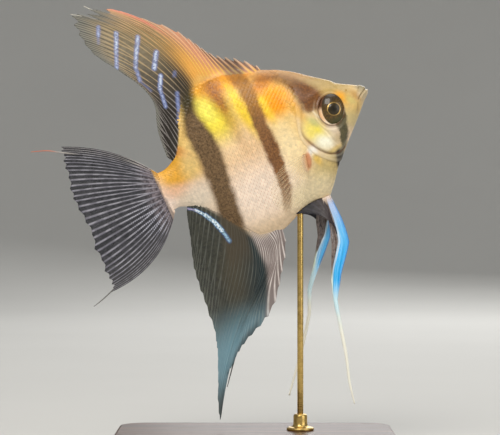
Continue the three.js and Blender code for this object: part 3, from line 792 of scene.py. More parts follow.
def fin_foot(x, z, fin):
    line, up, rear, front = FIN_FEET[fin]
    level = line(keel_run)
    slope = np.gradient(level, keel_run)
    lean = np.hypot(1, slope)
    within = flank_place(keel_run + up * slope / lean * FOOT_DEPTH, level - up * FOOT_DEPTH / lean)
    ends = ease(rear - 0.6, rear + 2.6, keel_run) * ease(0, 3.2, front + 0.6 - keel_run)
    within = np.maximum(within - 0.34, 0.05) * ends
    far, side, along = beside(x, z, list(zip(keel_run, level)))
    past = far * side * up
    half = np.interp(along, np.linspace(0, 1, len(keel_run)), within)
    return half * np.exp(-np.maximum(past + FOOT_DEPTH, 0) / FOOT_SWEEP), past


def coat_place(x, z):
    place = flank_place(x, z)
    for fin in FIN_FEET:
        half, past = fin_foot(x, z, fin)
        on_foot = (half > 0.02) & (past > -2)
        place = np.where(on_foot, np.maximum(place, half + 0.29 + 0.08 * ease(0, 2.5, past)), place)
    return place


def flank_lean(x, z):
    step = 0.05
    along = (coat_place(x + step, z) - coat_place(x - step, z)) / (2 * step)
    upward = (coat_place(x, z + step) - coat_place(x, z - step)) / (2 * step)
    return along, upward


def row_share(x):
    places = np.linspace(0, 1, 2000)
    reached = SNOUT_X - (SNOUT_X - BODY_END_X) * through(ROW_PLACES)(places)
    return np.interp(-x, -reached, places)


scale_paint, palette, shader = new_paint("angelfish_scales")
place = palette.here()
colours = palette.effect(living_colours_and_highlight, {"Object": place})
tone = palette.painted("tone")
free_edge = palette.painted("free_edge")
colour = palette.shade(colours["Colour"], palette.ramp(tone, 0.0, 1.0, 0.9, 1.08, "LINEAR"))
spot = palette.effect(fish_place, {"Object": place})
middle = oval(palette, spot["Place"], (30, -7), (11, 13), 0, 0.6)
edge_share = palette.times(palette.ramp(free_edge, 0.6, 1.0), palette.ramp(middle, 0.0, 1.0, 0.22, 0.95))
colour = palette.mix(edge_share, colour, palette.mix(1.0, colour, ink("cc8f66"), "MULTIPLY"))
# A painted highlight on the rim of each scale towards its free edge, weaker on the dark bars and away from
# the middle of the flank.
painted_edge_highlight = palette.times(palette.ramp(free_edge, 0.15, 0.45), palette.ramp(free_edge, 0.75, 0.5))
painted_edge_highlight = palette.times(painted_edge_highlight, palette.ramp(colours["Pigment"], 0.0, 0.8, 0.14, 0.04))
painted_edge_highlight = palette.times(painted_edge_highlight, palette.ramp(middle, 0.0, 1.0, 0.06, 1.0))
colour = palette.wash(colour, "fff4e2", painted_edge_highlight)
palette.feed(shader.inputs["Base Color"], colour)
palette.feed(shader.inputs["Metallic"], palette.ramp(tone, 0.2, 1.0, 0.04, 0.16, "LINEAR"))
rough = palette.ramp(tone, 0.0, 1.0, 0.3, 0.46, "LINEAR")
grain = palette.noise(place, 2600, 3, 0.6)
palette.surface(shader, rough, (0.3, 0.0001, grain), specular=0.22, coat=(0.1, 0.2))

roots = []
column_x, odd = 59.5, 0
while column_x > -0.4:
    closing = float(ROW_CLOSING(column_x))
    for row in range(-26, 27):
        root_z = float(ROW_CENTRE(column_x)) + (row + 0.5 * odd) * ROW_HEIGHT * closing
        roots.append((column_x, root_z, closing))
    column_x -= float(SCALE_STEP(column_x)) / 2
    odd = 1 - odd
roots = np.array(roots)
rng = np.random.default_rng(7)
roots[:, 0] += rng.normal(0, 0.03, len(roots))
roots[:, 1] += rng.normal(0, 0.03, len(roots))
rx, rz, closing = roots.T
# The coat stops this far inside the belly's margin.
hem = 0.35 + 0.6 * ease(5, 8, rx) * (1 - ease(14, 18, rx)) + 0.4 * ease(18, 23, rx) * (1 - ease(32, 37, rx))
inside = (rz < back_line(rx) - 0.35) & (rz > belly_line(rx) + hem)
past_back, past_belly = fin_foot(rx, rz, "dorsal")[1], fin_foot(rx, rz, "anal")[1]
climb = 2.5 + rng.normal(0, 0.25, len(rx))
climb_back = climb * (0.16 + 0.84 * ease(11.5, 17, rx)) * (1 - 0.86 * ease(20, 31, rx))
climb_belly = climb * (-0.1 + 0.18 * ease(13, 18, rx) - 0.5 * ease(19, 24, rx))
inside |= (past_back > -0.6) & (past_back < climb_back) & (rx > 8.0) & (rx < 44.6) & (rz > 0)
inside |= (past_belly > -0.6) & (past_belly < climb_belly) & (rx > 15.0) & (rx < 29.0) & (rz < 0)
inside &= rx < COAT_FRONT(rz) + 0.2
inside &= np.hypot((rx - LOBE_X) / 1.5, (rz - LOBE_Z) / 3.3) > 1
# The last rows before the edge of the coat on the fins' feet sink into the skin, up to 1.
last_rows = np.maximum(
    ease(-2.0, -0.6, past_back - climb_back) * (1 - ease(46, 50, rx)),
    ease(-1.4, -0.2, past_belly - climb_belly) * (1 - ease(33, 37, rx)),
)
inside &= last_rows < 0.96
last_rows = last_rows[inside]
rx, rz, closing = rx[inside], rz[inside], closing[inside]
past_keel = np.maximum(past_back, past_belly)[inside]
edge_room = np.minimum(back_line(rx) - rz, rz - belly_line(rx))
size = (0.76 + 0.24 * ease(0.5, 4.5, edge_room)) * (1 - 0.3 * ease(0.2, 2.6, past_keel))
half_long = SCALE_STEP(rx) * 0.76 * size
half_wide = ROW_HEIGHT * closing * 0.60 * size
sinking = 0.13 + 0.12 * ease(30, 35, rx)
raised = scaled(rx, rz)
count = len(rx)

rim_turn = np.arange(SCALE_RIM) / SCALE_RIM * 2 * math.pi
crown_turn = (np.arange(SCALE_CROWN) + 0.5) / SCALE_CROWN * 2 * math.pi
fan = np.where(np.cos(rim_turn) > 0, 1, 0.86)
cut_long = np.concatenate([np.cos(rim_turn), 0.55 * np.cos(crown_turn), [0, 0]])
cut_wide = np.concatenate([np.sin(rim_turn) * fan, 0.55 * np.sin(crown_turn), [0, 0]])
cut_rise = np.concatenate([np.zeros(SCALE_RIM), np.full(SCALE_CROWN, 0.05), [0.068, -0.03]])
faces = []
for k in range(SCALE_RIM):
    after = (k + 1) % SCALE_RIM
    near = (k // 2) % SCALE_CROWN
    faces.append((k, after, SCALE_RIM + near))
    faces.append((after, k, SCALE_RIM + SCALE_CROWN + 1))
for k in range(SCALE_CROWN):
    after = (k + 1) % SCALE_CROWN
    faces.append((SCALE_RIM + k, SCALE_RIM + after, SCALE_RIM + SCALE_CROWN))
    faces.append((SCALE_RIM + k, (2 * k + 2) % SCALE_RIM, SCALE_RIM + after))
faces = np.array(faces)

for hand, sign in (("right", -1), ("left", 1)):
    lean_x, lean_z = flank_lean(rx, rz)
    outward = np.stack([-lean_x, np.ones(count), -lean_z], 1)
    outward /= np.linalg.norm(outward, axis=1)[:, None]
    tailward = np.stack([-np.ones(count), -lean_x, np.zeros(count)], 1)
    tailward -= (tailward * outward).sum(1)[:, None] * outward
    tailward /= np.linalg.norm(tailward, axis=1)[:, None]
    upward = np.cross(outward, tailward)
    seat = np.stack([rx, coat_place(rx, rz), rz], 1)
    seat += outward * (relief(rx, rz) - COAT_DEPTH * raised)[:, None]
    tilt = 0.07 * raised * (1 - 0.48 * ease(36, 41, rx)) * (1 - 0.6 * ease(0, 1.2, past_keel))
    tilt = tilt * (0.45 + 0.55 * ease(0.3, 2.4, edge_room)) + rng.normal(0, 0.006, count)
    own = np.random.default_rng(11 if sign < 0 else 12)
    tone_of = own.random(count)
    long_part = half_long[:, None] * cut_long
    wide_part = half_wide[:, None] * cut_wide
    rise_part = cut_rise[None, :] + tilt[:, None] * cut_long[None, :]
    rise_part += (0.035 - sinking * last_rows)[:, None]
    spots = (
        seat[:, None, :]
        + long_part[:, :, None] * tailward[:, None, :]
        + wide_part[:, :, None] * upward[:, None, :]
        + rise_part[:, :, None] * outward[:, None, :]
    ).reshape(-1, 3)
    spots[:, 1] *= sign
    per = len(cut_long)
    all_faces = (faces[None] + (np.arange(count) * per)[:, None, None]).reshape(-1, 3)
    coat_mesh = bpy.data.meshes.new("scales_" + hand)
    coat_mesh.from_pydata(spots.tolist(), [], all_faces.tolist())
    coat_mesh.transform(STANCE)
    recalculated(coat_mesh)
    ends = np.empty(len(coat_mesh.edges) * 2, np.int32)
    coat_mesh.edges.foreach_get("vertices", ends)
    rims = (ends.reshape(-1, 2) % per < SCALE_RIM).all(axis=1)
    coat_mesh.attributes.new("sharp_edge", "BOOLEAN", "EDGE").data.foreach_set("value", rims)
    for label, values in (
        ("tone", np.repeat(tone_of, per)),
        ("free_edge", np.tile(np.clip(cut_long, 0, 1) * (cut_rise == 0), count)),
    ):
        set_values(coat_mesh, label, values)
    top, bottom = back_line(rx), belly_line(rx)
    height = np.clip((rz - (top + bottom) / 2) / ((top - bottom) / 2), -1, 1)
    turn_share = np.arccos(height) / (2 * math.pi)
    turn_share = turn_share + np.where(rz > 0, -0.012, 0.012) * np.maximum(past_keel, 0)
    root_u = 0.05 + 0.9 * (0.5 + sign * turn_share)
    root_v = MAP_MARGIN + MAP_SPAN * row_share(rx)
    patch = np.stack([
        np.repeat(root_u, per) + 0.0015 * np.tile(cut_long, count),
        np.repeat(root_v, per) + 0.0015 * np.tile(cut_wide, count),
    ], 1)
    unwrap = coat_mesh.uv_layers.new(name="OFBake")
    corner = read_all(coat_mesh.loops, "vertex_index", 1, int)
    unwrap.data.foreach_set("uv", patch[corner].astype(np.float32).ravel())
    coat = show("scales_" + hand, coat_mesh, scale_paint)
    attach(coat, "root")

# ---- Fins ----
# A fin is a thin web of skin stretched over bony rays: stiff spines in front, then soft rays that
# branch towards the margin. Each sheet is laid out along its rays and the rays stand proud of it.
FIN_COLUMNS = 12
FIN_VALUES = ("ray", "out", "count", "gleam", "front")


# A place on a ray, out 0 to 1 from base to tip, bowed from its chord most strongly at 1 / (1 + fade).
def on_ray(base_x, base_z, tip_x, tip_z, bow, out, fade):
    chord_x, chord_z = tip_x - base_x, tip_z - base_z
    peak = (1 / (1 + fade)) * (fade / (1 + fade)) ** fade
    bend = bow * out * (1 - out) ** fade / peak
    return base_x + chord_x * out + chord_z * bend, base_z + chord_z * out - chord_x * bend


# How much of a ray is at a place: q counts rays from the first, out runs from base to tip.
def ray_at(q, out, spines, split, again=2, thin=0.1):
    near = q - np.round(q)
    soft = np.round(q) >= spines
    branch = np.where(soft, 0.24 * ease(split, split + 0.35, out), 0)
    twig = np.where(soft, 0.12 * ease(again, again + 0.25, out), 0)
    gap = np.abs(np.abs(np.abs(near) - branch) - twig)
    wide = np.where(soft, 0.22 + (thin - 0.22) * ease(0, 0.45, out), 0.3 - 0.1 * out)
    return np.clip(1 - (gap / wide) ** 2, 0, 1)


# A flat strip of web before it is laid out, and how far across and along it each point is.
def strip(name, across, along):
    bm = bmesh.new()
    bm.loops.layers.uv.new("OFBake")
    bmesh.ops.create_grid(bm, x_segments=across, y_segments=along, size=0.5, calc_uvs=True)
    mesh = cast(bm, name)
    grid = read_all(mesh.vertices, "co", 3)
    return mesh, grid[:, 0] + 0.5, grid[:, 1] + 0.5


def lay_out(mesh, places):
    set_points(mesh, places)
    mesh.transform(STANCE)
    mesh.update()


# Gives a sheet its wall in millimetres, point by point.
def give_wall(sheet, thick):
    walls = sheet.vertex_groups.new(name="wall")
    for i, part in enumerate(thick / thick.max()):
        walls.add([i], float(part), "REPLACE")
    solid = sheet.modifiers.new("wall", "SOLIDIFY")
    solid.thickness = float(thick.max()) / 1000
    solid.offset = 0
    solid.vertex_group = "wall"


def fin_sheet(name, rays, rows, layout, wall, paint, columns=FIN_COLUMNS, marks=(), tint=None):
    mesh, across, out = strip(name, (rays - 1) * columns, rows)
    q = across * (rays - 1)
    level, ray = layout(q, out)
    lay_out(mesh, level)
    thick = wall(level, layout(q, np.zeros(len(q)))[0], out, ray)
    gleam = np.zeros(len(q))
    for start, end, width, edge, strength in marks:
        far = beside(level[:, 0], level[:, 2], [start, end])[0]
        gleam = np.maximum(gleam, strength * (1 - ease(width, width + edge, far)))
    front = tint(level[:, 0], level[:, 2]) if tint else np.zeros(len(q))
    values = {"ray": ray, "out": out, "count": q, "gleam": gleam, "front": front}
    for label in FIN_VALUES:
        set_values(mesh, label, values[label])
    sheet = show(name, mesh, paint)
    give_wall(sheet, thick)
    return sheet


def fin_wall(root, web, proud, buried):
    def wall(level, foot, out, ray):
        rise = np.linalg.norm(level - foot, axis=1)
        base = web + (root - web) * np.exp(-np.maximum(rise - 0.4 * buried, 0) / 1.1)
        return base + ray * proud * (1 - 0.65 * out)

    return wall


def swept_wall(fin, web, proud):
    def wall(level, foot, out, ray):
        half, past = fin_foot(level[:, 0], level[:, 2], fin)
        return web + 2 * half + ray * proud * (1 - 0.65 * out) * ease(-0.2, 2.8, past)

    return wall


# Beads and cross-joints along the rays, and a fine crinkle on the web.
fin_relief, palette, given, taken = effect_tree(
    "fin_relief",
    {"Object": "Vector", "Ray": "Float", "Out": "Float", "Count": "Float"},
    {"Height": "Float", "Joint": "Float"},
)
beads = palette.calc("SINE", palette.times(given["Out"], 260.0))
beads = palette.times(palette.ramp(beads, 0.3, 1.0), given["Ray"])
crinkle = palette.noise(given["Object"], 2200, 3, 0.6)
palette.feed(taken["Height"], palette.plus(palette.times(beads, 0.35), crinkle))
palette.feed(taken["Joint"], beads)


def fin_paint(name, rough=0.42):
    paint, palette, shader = new_paint(name)
    given = {label: palette.painted(label) for label in FIN_VALUES}
    given["Object"] = palette.here()
    given.update(palette.effect(fish_place, {"Object": given["Object"]}).items())
    shape = palette.effect(fin_relief, {
        "Object": given["Object"], "Ray": given["ray"], "Out": given["out"], "Count": given["count"],
    })
    given["Joint"] = shape["Joint"]
    given["Grain"] = palette.noise(given["Full"], 0.8, 3, 0.6)
    gloss = palette.ramp(given["Grain"], 0.3, 0.7, rough - 0.08, rough + 0.08, "LINEAR")
    palette.surface(shader, gloss, (0.35, 0.0001, shape["Height"]), specular=0.3, coat=(0.08, 0.2))
    return paint, palette, shader, given


# ---- Dorsal fin ----
# Thirteen short pale spines climb the back, then two dozen soft rays sweep up and back to a
# pointed, frayed tip. Gold at the foot, salmon along the front, smoky behind with lilac dashes.
DORSAL_RAYS = [
    # foot x, tip x z, bow
    (46.6, 46, 25.2, 0), (44.6, 41.2, 30, 0), (41.4, 37.1, 32.8, 0), (38.2, 33.7, 35.5, 0),
    (35.2, 31.1, 39.4, 0.01), (32.4, 29.2, 43, 0.02), (30.2, 25.3, 48.8, 0.05), (28.4, 17.4, 56.2, 0.1),
    (27, 8.8, 63.6, 0.125), (25.8, 6.5, 62.6, 0.12), (24.6, 1.9, 67.4, 0.11), (23.4, -0.6, 65.6, 0.105),
    (22.2, -3.3, 67.2, 0.1), (20.6, -3.8, 60.8, 0.08), (18.4, -1.8, 52.5, 0.065), (16.1, 3.2, 44, 0.05),
    (13.6, 8.2, 35.5, 0.03), (11.4, 9.6, 28, 0.01), (9.2, 7, 19, 0), (7.3, 6.3, 10.4, 0),
]
DORSAL_SPINES, DORSAL_COUNT = 13, 36
# How far along the list above each ray stands: the spines first, then the closer soft rays.
last_spine = 7.6 / (len(DORSAL_RAYS) - 1)
dorsal_share = np.concatenate([
    np.linspace(0.005, last_spine, DORSAL_SPINES),
    np.linspace(last_spine + 0.035, 1, DORSAL_COUNT - DORSAL_SPINES),
])
dorsal_foot, dorsal_tip_x, dorsal_tip_z, dorsal_bow = (
    evenly([r[k] for r in DORSAL_RAYS]) for k in range(4)
)
dorsal_fray = np.random.default_rng(3).normal(0, 0.35, DORSAL_COUNT)


def dorsal_layout(q, out):
    u = np.interp(q, np.arange(DORSAL_COUNT), dorsal_share)
    foot = dorsal_foot(u)
    base_z = back_line(foot) - 1.9 * ease(0, 2.5, foot - 6.6) * ease(0, 3, 47.4 - foot) - 0.5
    tip_x, tip_z, bow = dorsal_tip_x(u), dorsal_tip_z(u), dorsal_bow(u)
    length = np.hypot(tip_x - foot, tip_z - base_z)
    spiny = q < DORSAL_SPINES - 0.5
    gap = np.abs(q - np.round(q)) * 2
    tip_zone = swell(u - 0.56, 0.1)
    soft_cut = (0.012 + 0.07 * tip_zone) * gap
    cut = np.where(spiny, np.minimum(0.5, 2.3 / length) * gap**0.7, soft_cut)
    cut = cut - np.where(spiny, 0, np.interp(q, np.arange(DORSAL_COUNT), dorsal_fray) / length)
    cut += 0.055 * tip_zone
    x, z = on_ray(foot, base_z, tip_x, tip_z, bow, out * (1 - cut), 1)
    y = 1.1 * out * out * np.sin(5 * u + 0.6) + 0.1 * out * np.sin(q * 2.1)
    return np.stack([x, y, z], 1), ray_at(q, out, DORSAL_SPINES, 0.4, 0.66, 0.085)


dorsal_paint, palette, shader, given = fin_paint("dorsal_fin_web")
ray, out, count, z = given["ray"], given["out"], given["count"], given["Z"]
spiny = palette.ramp(count, 10.5, 13.5, 1.0, 0.0)
web = palette.wash(ink("706b60"), "878173", palette.ramp(given["Grain"], 0.35, 0.65))
web = palette.wash(web, "93805a", palette.ramp(count, 15.0, 27.0, 1.0, 0.0))
web = palette.wash(web, "423b33", palette.ramp(z, 50.0, 30.0, 0.0, 0.92))
web = palette.wash(web, "27221c", palette.ramp(z, 34.0, 22.0))
web = palette.wash(web, "3a3d39", palette.ramp(out, 0.75, 1.0), palette.ramp(count, 13.0, 15.0))
foot, ahead = palette.ramp(out, 0.15, 0.62, 1.0, 0.0), palette.ramp(count, 13.0, 20.0, 1.0, 0.0)
web = palette.wash(web, "eba94e", foot, ahead)
salmon = palette.times(palette.ramp(count, 8.0, 14.8, 1.0, 0.0), palette.ramp(out, 0.05, 0.5))
web = palette.wash(web, "e8a07c", salmon, 0.85)
short = palette.ramp(count, 5.0, 9.0, 1.0, 0.0)
web = palette.wash(web, "866553", short, palette.ramp(out, 0.1, 0.6))
bone = palette.wash(ink("f0b584"), "c4a97f", palette.ramp(count, 12.0, 22.0))
bone = palette.wash(bone, "cdb095", spiny, palette.ramp(out, 0.55, 0.95))
bone = palette.wash(bone, "948d88", palette.ramp(z, 38.0, 26.0), palette.ramp(count, 20.0, 24.0))
bone = palette.wash(bone, "a4a196", palette.ramp(out, 0.7, 1.0), palette.ramp(count, 13.0, 15.0))
foot, ahead = palette.ramp(out, 0.2, 0.7, 1.0, 0.0), palette.ramp(count, 14.0, 21.0, 1.0, 0.0)
bone = palette.wash(bone, "f2c05a", foot, ahead)
colour = palette.mix(palette.times(ray, 0.85), web, bone)
coral = palette.times(palette.ramp(count, 13.3, 12.6), palette.ramp(count, 11.6, 12.2))
coral = palette.times(coral, palette.ramp(out, 0.45, 0.75))
colour = palette.wash(colour, "e8907a", coral, 0.85)
colours = palette.effect(living_colours_and_highlight, {"Object": given["Object"]})
bar_up = palette.times(colours["Pigment"], palette.ramp(z, 46.0, 26.0))
bar_tone = palette.wash(ink("2e281e"), "5c5040", ray)
colour = palette.mix(palette.times(bar_up, 0.85), colour, bar_tone)
colour = palette.mix(palette.ramp(out, 0.03, 0.14, 1.0, 0.0), colour, colours["Colour"])
# The lilac dashes.
DASHES = [
    # from x z, to x z, width, edge, strength
    ((3.7, 59), (2.4, 56.4), 0.14, 1.05, 0.81), ((2.4, 56.4), (1.5, 54.2), 0.06, 1.05, 0.47),
    ((8.2, 54.8), (5.6, 49.2), 0.18, 1.05, 0.95), ((5.6, 49.2), (3.4, 44.1), 0.15, 1.05, 0.81),
    ((14.1, 50.6), (11.4, 46), 0.19, 1.10, 0.95), ((11.4, 46), (9.2, 41.9), 0.18, 1.05, 0.90),
    ((9.2, 41.9), (8.6, 37.1), 0.14, 1.05, 0.71), ((8.6, 37.1), (10.5, 32.6), 0.06, 0.95, 0.38),
    ((17.5, 43.5), (14.6, 38.9), 0.22, 1.15, 0.95), ((15.5, 35.8), (13.5, 32.1), 0.17, 1.10, 0.95),
    ((13.5, 32.1), (12.7, 25.8), 0.11, 1.05, 0.76), ((20.2, 34.9), (19.6, 33.9), 0.17, 1.05, 0.47),
    ((18, 28.4), (16.1, 23.1), 0.14, 1.10, 0.66), ((16.1, 23.1), (14.2, 19.6), 0.11, 1.05, 0.43),
]
speck = palette.ramp(palette.noise(given["Full"], 1.3, 3, 0.6), 0.36, 0.56)
dashes = palette.times(palette.ramp(given["gleam"], 0.0, 1.0), palette.ramp(speck, 0.0, 1.0, 0.6, 0.95))
lilac = palette.wash(ink("8496d2"), "d6e2f6", speck, palette.ramp(given["gleam"], 0.55, 1.0))
colour = palette.mix(dashes, colour, lilac)
palette.feed(shader.inputs["Base Color"], colour)
solid_part = palette.calc("MAXIMUM", ray, palette.ramp(out, 0.35, 0.85, 1.0, 0.0))
palette.feed(shader.inputs["Alpha"], palette.ramp(solid_part, 0.0, 1.0, 0.88, 1.0, "LINEAR"))

dorsal_wall = swept_wall("dorsal", 0.24, 0.34)
dorsal = fin_sheet(
    "dorsal_fin_sheet", DORSAL_COUNT, 84, dorsal_layout, dorsal_wall, dorsal_paint, marks=DASHES
)
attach(dorsal, "root")
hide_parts("dorsal_fin")

# ---- Anal fin ----
# Six pale pink spines lead it; the soft rays fall back to a long dark point. A streak of its own
# iridescent blue, with a painted white highlight down it, lies along its rear root, and the rear bar runs
# down into its smoky web.
ANAL_RAYS = [
    # foot x, tip x z, bow
    (30.7, 29.9, -31, 0), (29.6, 27.4, -36, -0.02), (28.5, 24.6, -39.7, -0.05), (27.4, 22, -43.2, -0.08),
    (26.3, 18.4, -47.8, -0.11), (25.2, 14, -51.2, -0.13), (24.6, 7.9, -54.1, -0.13), (24, 2.7, -56, -0.13),
    (23.3, -0.8, -58.4, -0.125), (22.4, -3.9, -61.4, -0.12), (21.6, -5.9, -62.4, -0.11),
    (20.8, -9.7, -67.2, -0.095), (20.1, -14.9, -75.7, -0.08), (19.3, -12.7, -69.4, -0.07),
    (18.3, -9.9, -63.6, -0.06), (17.3, -6.3, -55.4, -0.045), (16.2, -4.4, -49.6, -0.025),
    (13.5, -3, -38.3, 0), (10.5, -1.7, -27.6, 0), (7.3, 1.6, -17.4, 0), (5.5, 4, -9.6, 0),
]
ANAL_SPINES, ANAL_COUNT = 6, 38
soft_run = np.linspace(0, 1, ANAL_COUNT - ANAL_SPINES)
anal_share = np.concatenate([
    np.linspace(0.0, 0.25, ANAL_SPINES),
    0.28 + 0.72 * (0.6 * soft_run + 0.4 * (1 - (1 - soft_run) ** 2)),
])
anal_foot, anal_tip_x, anal_tip_z, anal_bow = (
    evenly([r[k] for r in ANAL_RAYS]) for k in range(4)
)
anal_fray = np.random.default_rng(5).normal(0, 0.35, ANAL_COUNT)


def anal_layout(q, out):
    u = np.interp(q, np.arange(ANAL_COUNT), anal_share)
    foot = anal_foot(u)
    base_z = belly_line(foot) + 1.9 * ease(0, 2.5, foot - 4.6) * ease(0, 2.5, 31.6 - foot) + 0.5
    tip_x, tip_z, bow = anal_tip_x(u), anal_tip_z(u), anal_bow(u)
    length = np.hypot(tip_x - foot, tip_z - base_z)
    spiny = q < ANAL_SPINES - 0.5
    gap = np.abs(q - np.round(q)) * 2
    soft_cut = np.minimum(0.06, 0.95 / length) * gap
    cut = np.where(spiny, np.minimum(0.3, 1.3 / length) * gap**0.8, soft_cut)
    cut = cut - np.where(spiny, 0, np.interp(q, np.arange(ANAL_COUNT), anal_fray) / length)
    x, z = on_ray(foot, base_z, tip_x, tip_z, bow, out * (1 - cut), 3)
    y = 1.2 * out * out * np.sin(4.4 * u + 3.6) + 0.1 * out * np.sin(q * 2.3)
    return np.stack([x, y, z], 1), ray_at(q, out, ANAL_SPINES, 0.45, 0.8, 0.09)


# The pale pink front of the fin ends along this line.
PINK_EDGE = smooth_line([
    (20.6, -20), (20.2, -24.4), (20.3, -31.9), (20.0, -37.2), (16.4, -45.4), (12.8, -51), (8, -58),
])


def anal_front(x, z):
    far, side, _ = beside(x, z, PINK_EDGE)
    return ease(-0.9, 1.3, far * side)


anal_paint, palette, shader, given = fin_paint("anal_fin_web")
ray, out, count = given["ray"], given["out"], given["count"]
x, z, place = given["X"], given["Z"], given["Place"]
web = palette.wash(ink("2f302a"), "3f3f36", palette.ramp(given["Grain"], 0.35, 0.65))
# A lighter blue-grey band low on the web is painted light shining through the fin; it darkens again towards
# the tip.
web = palette.wash(web, "7097a5", palette.ramp(z, -40.0, -57.0))
web = palette.wash(web, "4a5150", palette.ramp(z, -60.0, -73.0))
teal = oval(palette, place, (16.6, -34.5), (5, 13), 14, 0.55)
web = palette.wash(web, "15282e", teal, 0.9)
olive = oval(palette, place, (10.5, -34), (5, 9), 20, 0.7)
web = palette.wash(web, "4c4535", olive, 0.6)
pink = given["front"]
web = palette.wash(web, "877a76", pink, 0.95)
bone = palette.wash(ink("70736b"), "e2d8d3", pink)
# The same painted light shining through the fin on the lower rays, darker again towards the tip.
bone = palette.wash(bone, "9ab0b8", palette.ramp(z, -44.0, -58.0))
bone = palette.wash(bone, "687274", palette.ramp(z, -60.0, -73.0))
strength = palette.ramp(pink, 0.0, 1.0, 0.55, 0.9)
uneven = palette.ramp(palette.noise(given["Full"], 0.22, 2, 0.5), 0.3, 0.6, 0.55, 1.1)
strength = palette.times(strength, uneven)
colour = palette.mix(palette.times(ray, strength), web, bone)
edge_dark = palette.times(palette.ramp(count, 5.2, 7.0), palette.ramp(count, 17.0, 7.0))
edge_dark = palette.times(edge_dark, palette.ramp(out, 0.86, 1.0))
colour = palette.wash(colour, "26292a", edge_dark, 0.8)
colours = palette.effect(living_colours_and_highlight, {"Object": given["Object"]})
bar_down = palette.times(colours["Pigment"], palette.ramp(z, -36.0, -26.0))
colour = palette.wash(colour, "4b4233", bar_down, 0.8)
foot, ahead = palette.ramp(out, 0.02, 0.065, 1.0, 0.0), palette.ramp(count, 8.0, 2.0, 0.4, 0.9)
belly_skin = palette.times(foot, ahead)
colour = palette.mix(belly_skin, colour, colours["Colour"])
# The blue-white gleam: the fin's own iridescent blue, with a painted highlight at its white centre.
GLEAM = [
    # from x z, to x z, width, edge, strength
    ((4.6, -7.4), (7.1, -9.1), 0.1, 0.45, 0.75), ((7.1, -9.1), (9.4, -12.0), 0.22, 0.5, 0.95),
    ((9.4, -12.0), (11.2, -15.4), 0.34, 0.6, 1.0), ((11.2, -15.4), (12.3, -19.0), 0.36, 0.7, 1.0),
    ((12.3, -19.0), (13.1, -23.2), 0.2, 0.8, 0.75),
]
sparkle = palette.ramp(palette.noise(given["Full"], 1.6, 3, 0.65), 0.36, 0.6)
broken = palette.calc("MAXIMUM", sparkle, palette.times(ray, 0.6))
gleam = palette.times(given["gleam"], palette.ramp(broken, 0.0, 1.0, 0.38, 1.0))
sheen = palette.wash(ink("cdbfe8"), "b4e0fb", palette.ramp(x, 6.0, 8.6))
sheen = palette.wash(sheen, "3a7cd4", palette.ramp(given["gleam"], 0.75, 0.3))
# Painted highlight: the near-white sparkle down the middle of the gleam.
sheen = palette.wash(sheen, "f0f8ff", palette.ramp(given["gleam"], 0.7, 1.0), sparkle)
sheen = palette.wash(sheen, "6fa4d8", palette.ramp(x, 12.0, 14.5))
colour = palette.mix(gleam, colour, sheen)
palette.feed(shader.inputs["Base Color"], colour)
solid_part = palette.calc("MAXIMUM", ray, palette.ramp(out, 0.4, 0.9, 1.0, 0.0))
palette.feed(shader.inputs["Alpha"], palette.ramp(solid_part, 0.0, 1.0, 0.82, 1.0, "LINEAR"))

anal_wall = swept_wall("anal", 0.24, 0.3)
anal = fin_sheet(
    "anal_fin_sheet", ANAL_COUNT, 88, anal_layout, anal_wall, anal_paint,
    columns=11, marks=GLEAM, tint=anal_front,
)
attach(anal, "root")
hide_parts("anal_fin")

# ---- Tail fin ----
# A spread fan of eighteen branched rays on a smoky black web, with pearly beads low near the
# root and a thread trailing from the upper corner.
TAIL_RAYS = [
    # foot z, tip x z, bow
    (7.4, -24.5, 28.6, 0.08), (6.2, -25.2, 25.4, 0.055), (4.8, -25.9, 20.6, 0.035),
    (3.2, -27.4, 14.4, 0.02), (1.4, -27.9, 8.5, 0.005), (-0.6, -27.6, 1, 0), (-2.4, -28, -6.5, -0.015),
    (-4.2, -27.7, -13.8, -0.045), (-5.9, -28, -19.2, -0.09), (-7, -29, -22, -0.13),
]
TAIL_COUNT = 18
tail_foot, tail_tip_x, tail_tip_z, tail_bow = (
    evenly([r[k] for r in TAIL_RAYS]) for k in range(4)
)
tail_fray = np.random.default_rng(9).normal(0, 0.3, TAIL_COUNT)


def tail_layout(q, out):
    share = q / (TAIL_COUNT - 1)
    u = share - 0.03 * np.sin(2 * math.pi * share)
    base_x = np.full(np.shape(q), 0.9)
    base_z = tail_foot(u) * 0.97
    tip_x, tip_z, bow = tail_tip_x(u), tail_tip_z(u), tail_bow(u)
    length = np.hypot(tip_x - base_x, tip_z - base_z)
    near = np.abs(q - np.round(q)) * 2
    cut = 0.026 * near**0.8 - np.interp(q, np.arange(TAIL_COUNT), tail_fray) / length
    x, z = on_ray(base_x, base_z, tip_x, tip_z, bow, out * (1 - cut), 1)
    y = 1.3 * out * out * np.sin(4 * u + 1) + 0.12 * out * np.sin(q * 1.7)
    return np.stack([x, y, z], 1), ray_at(q, out, 0, 0.08, 2, 0.095)


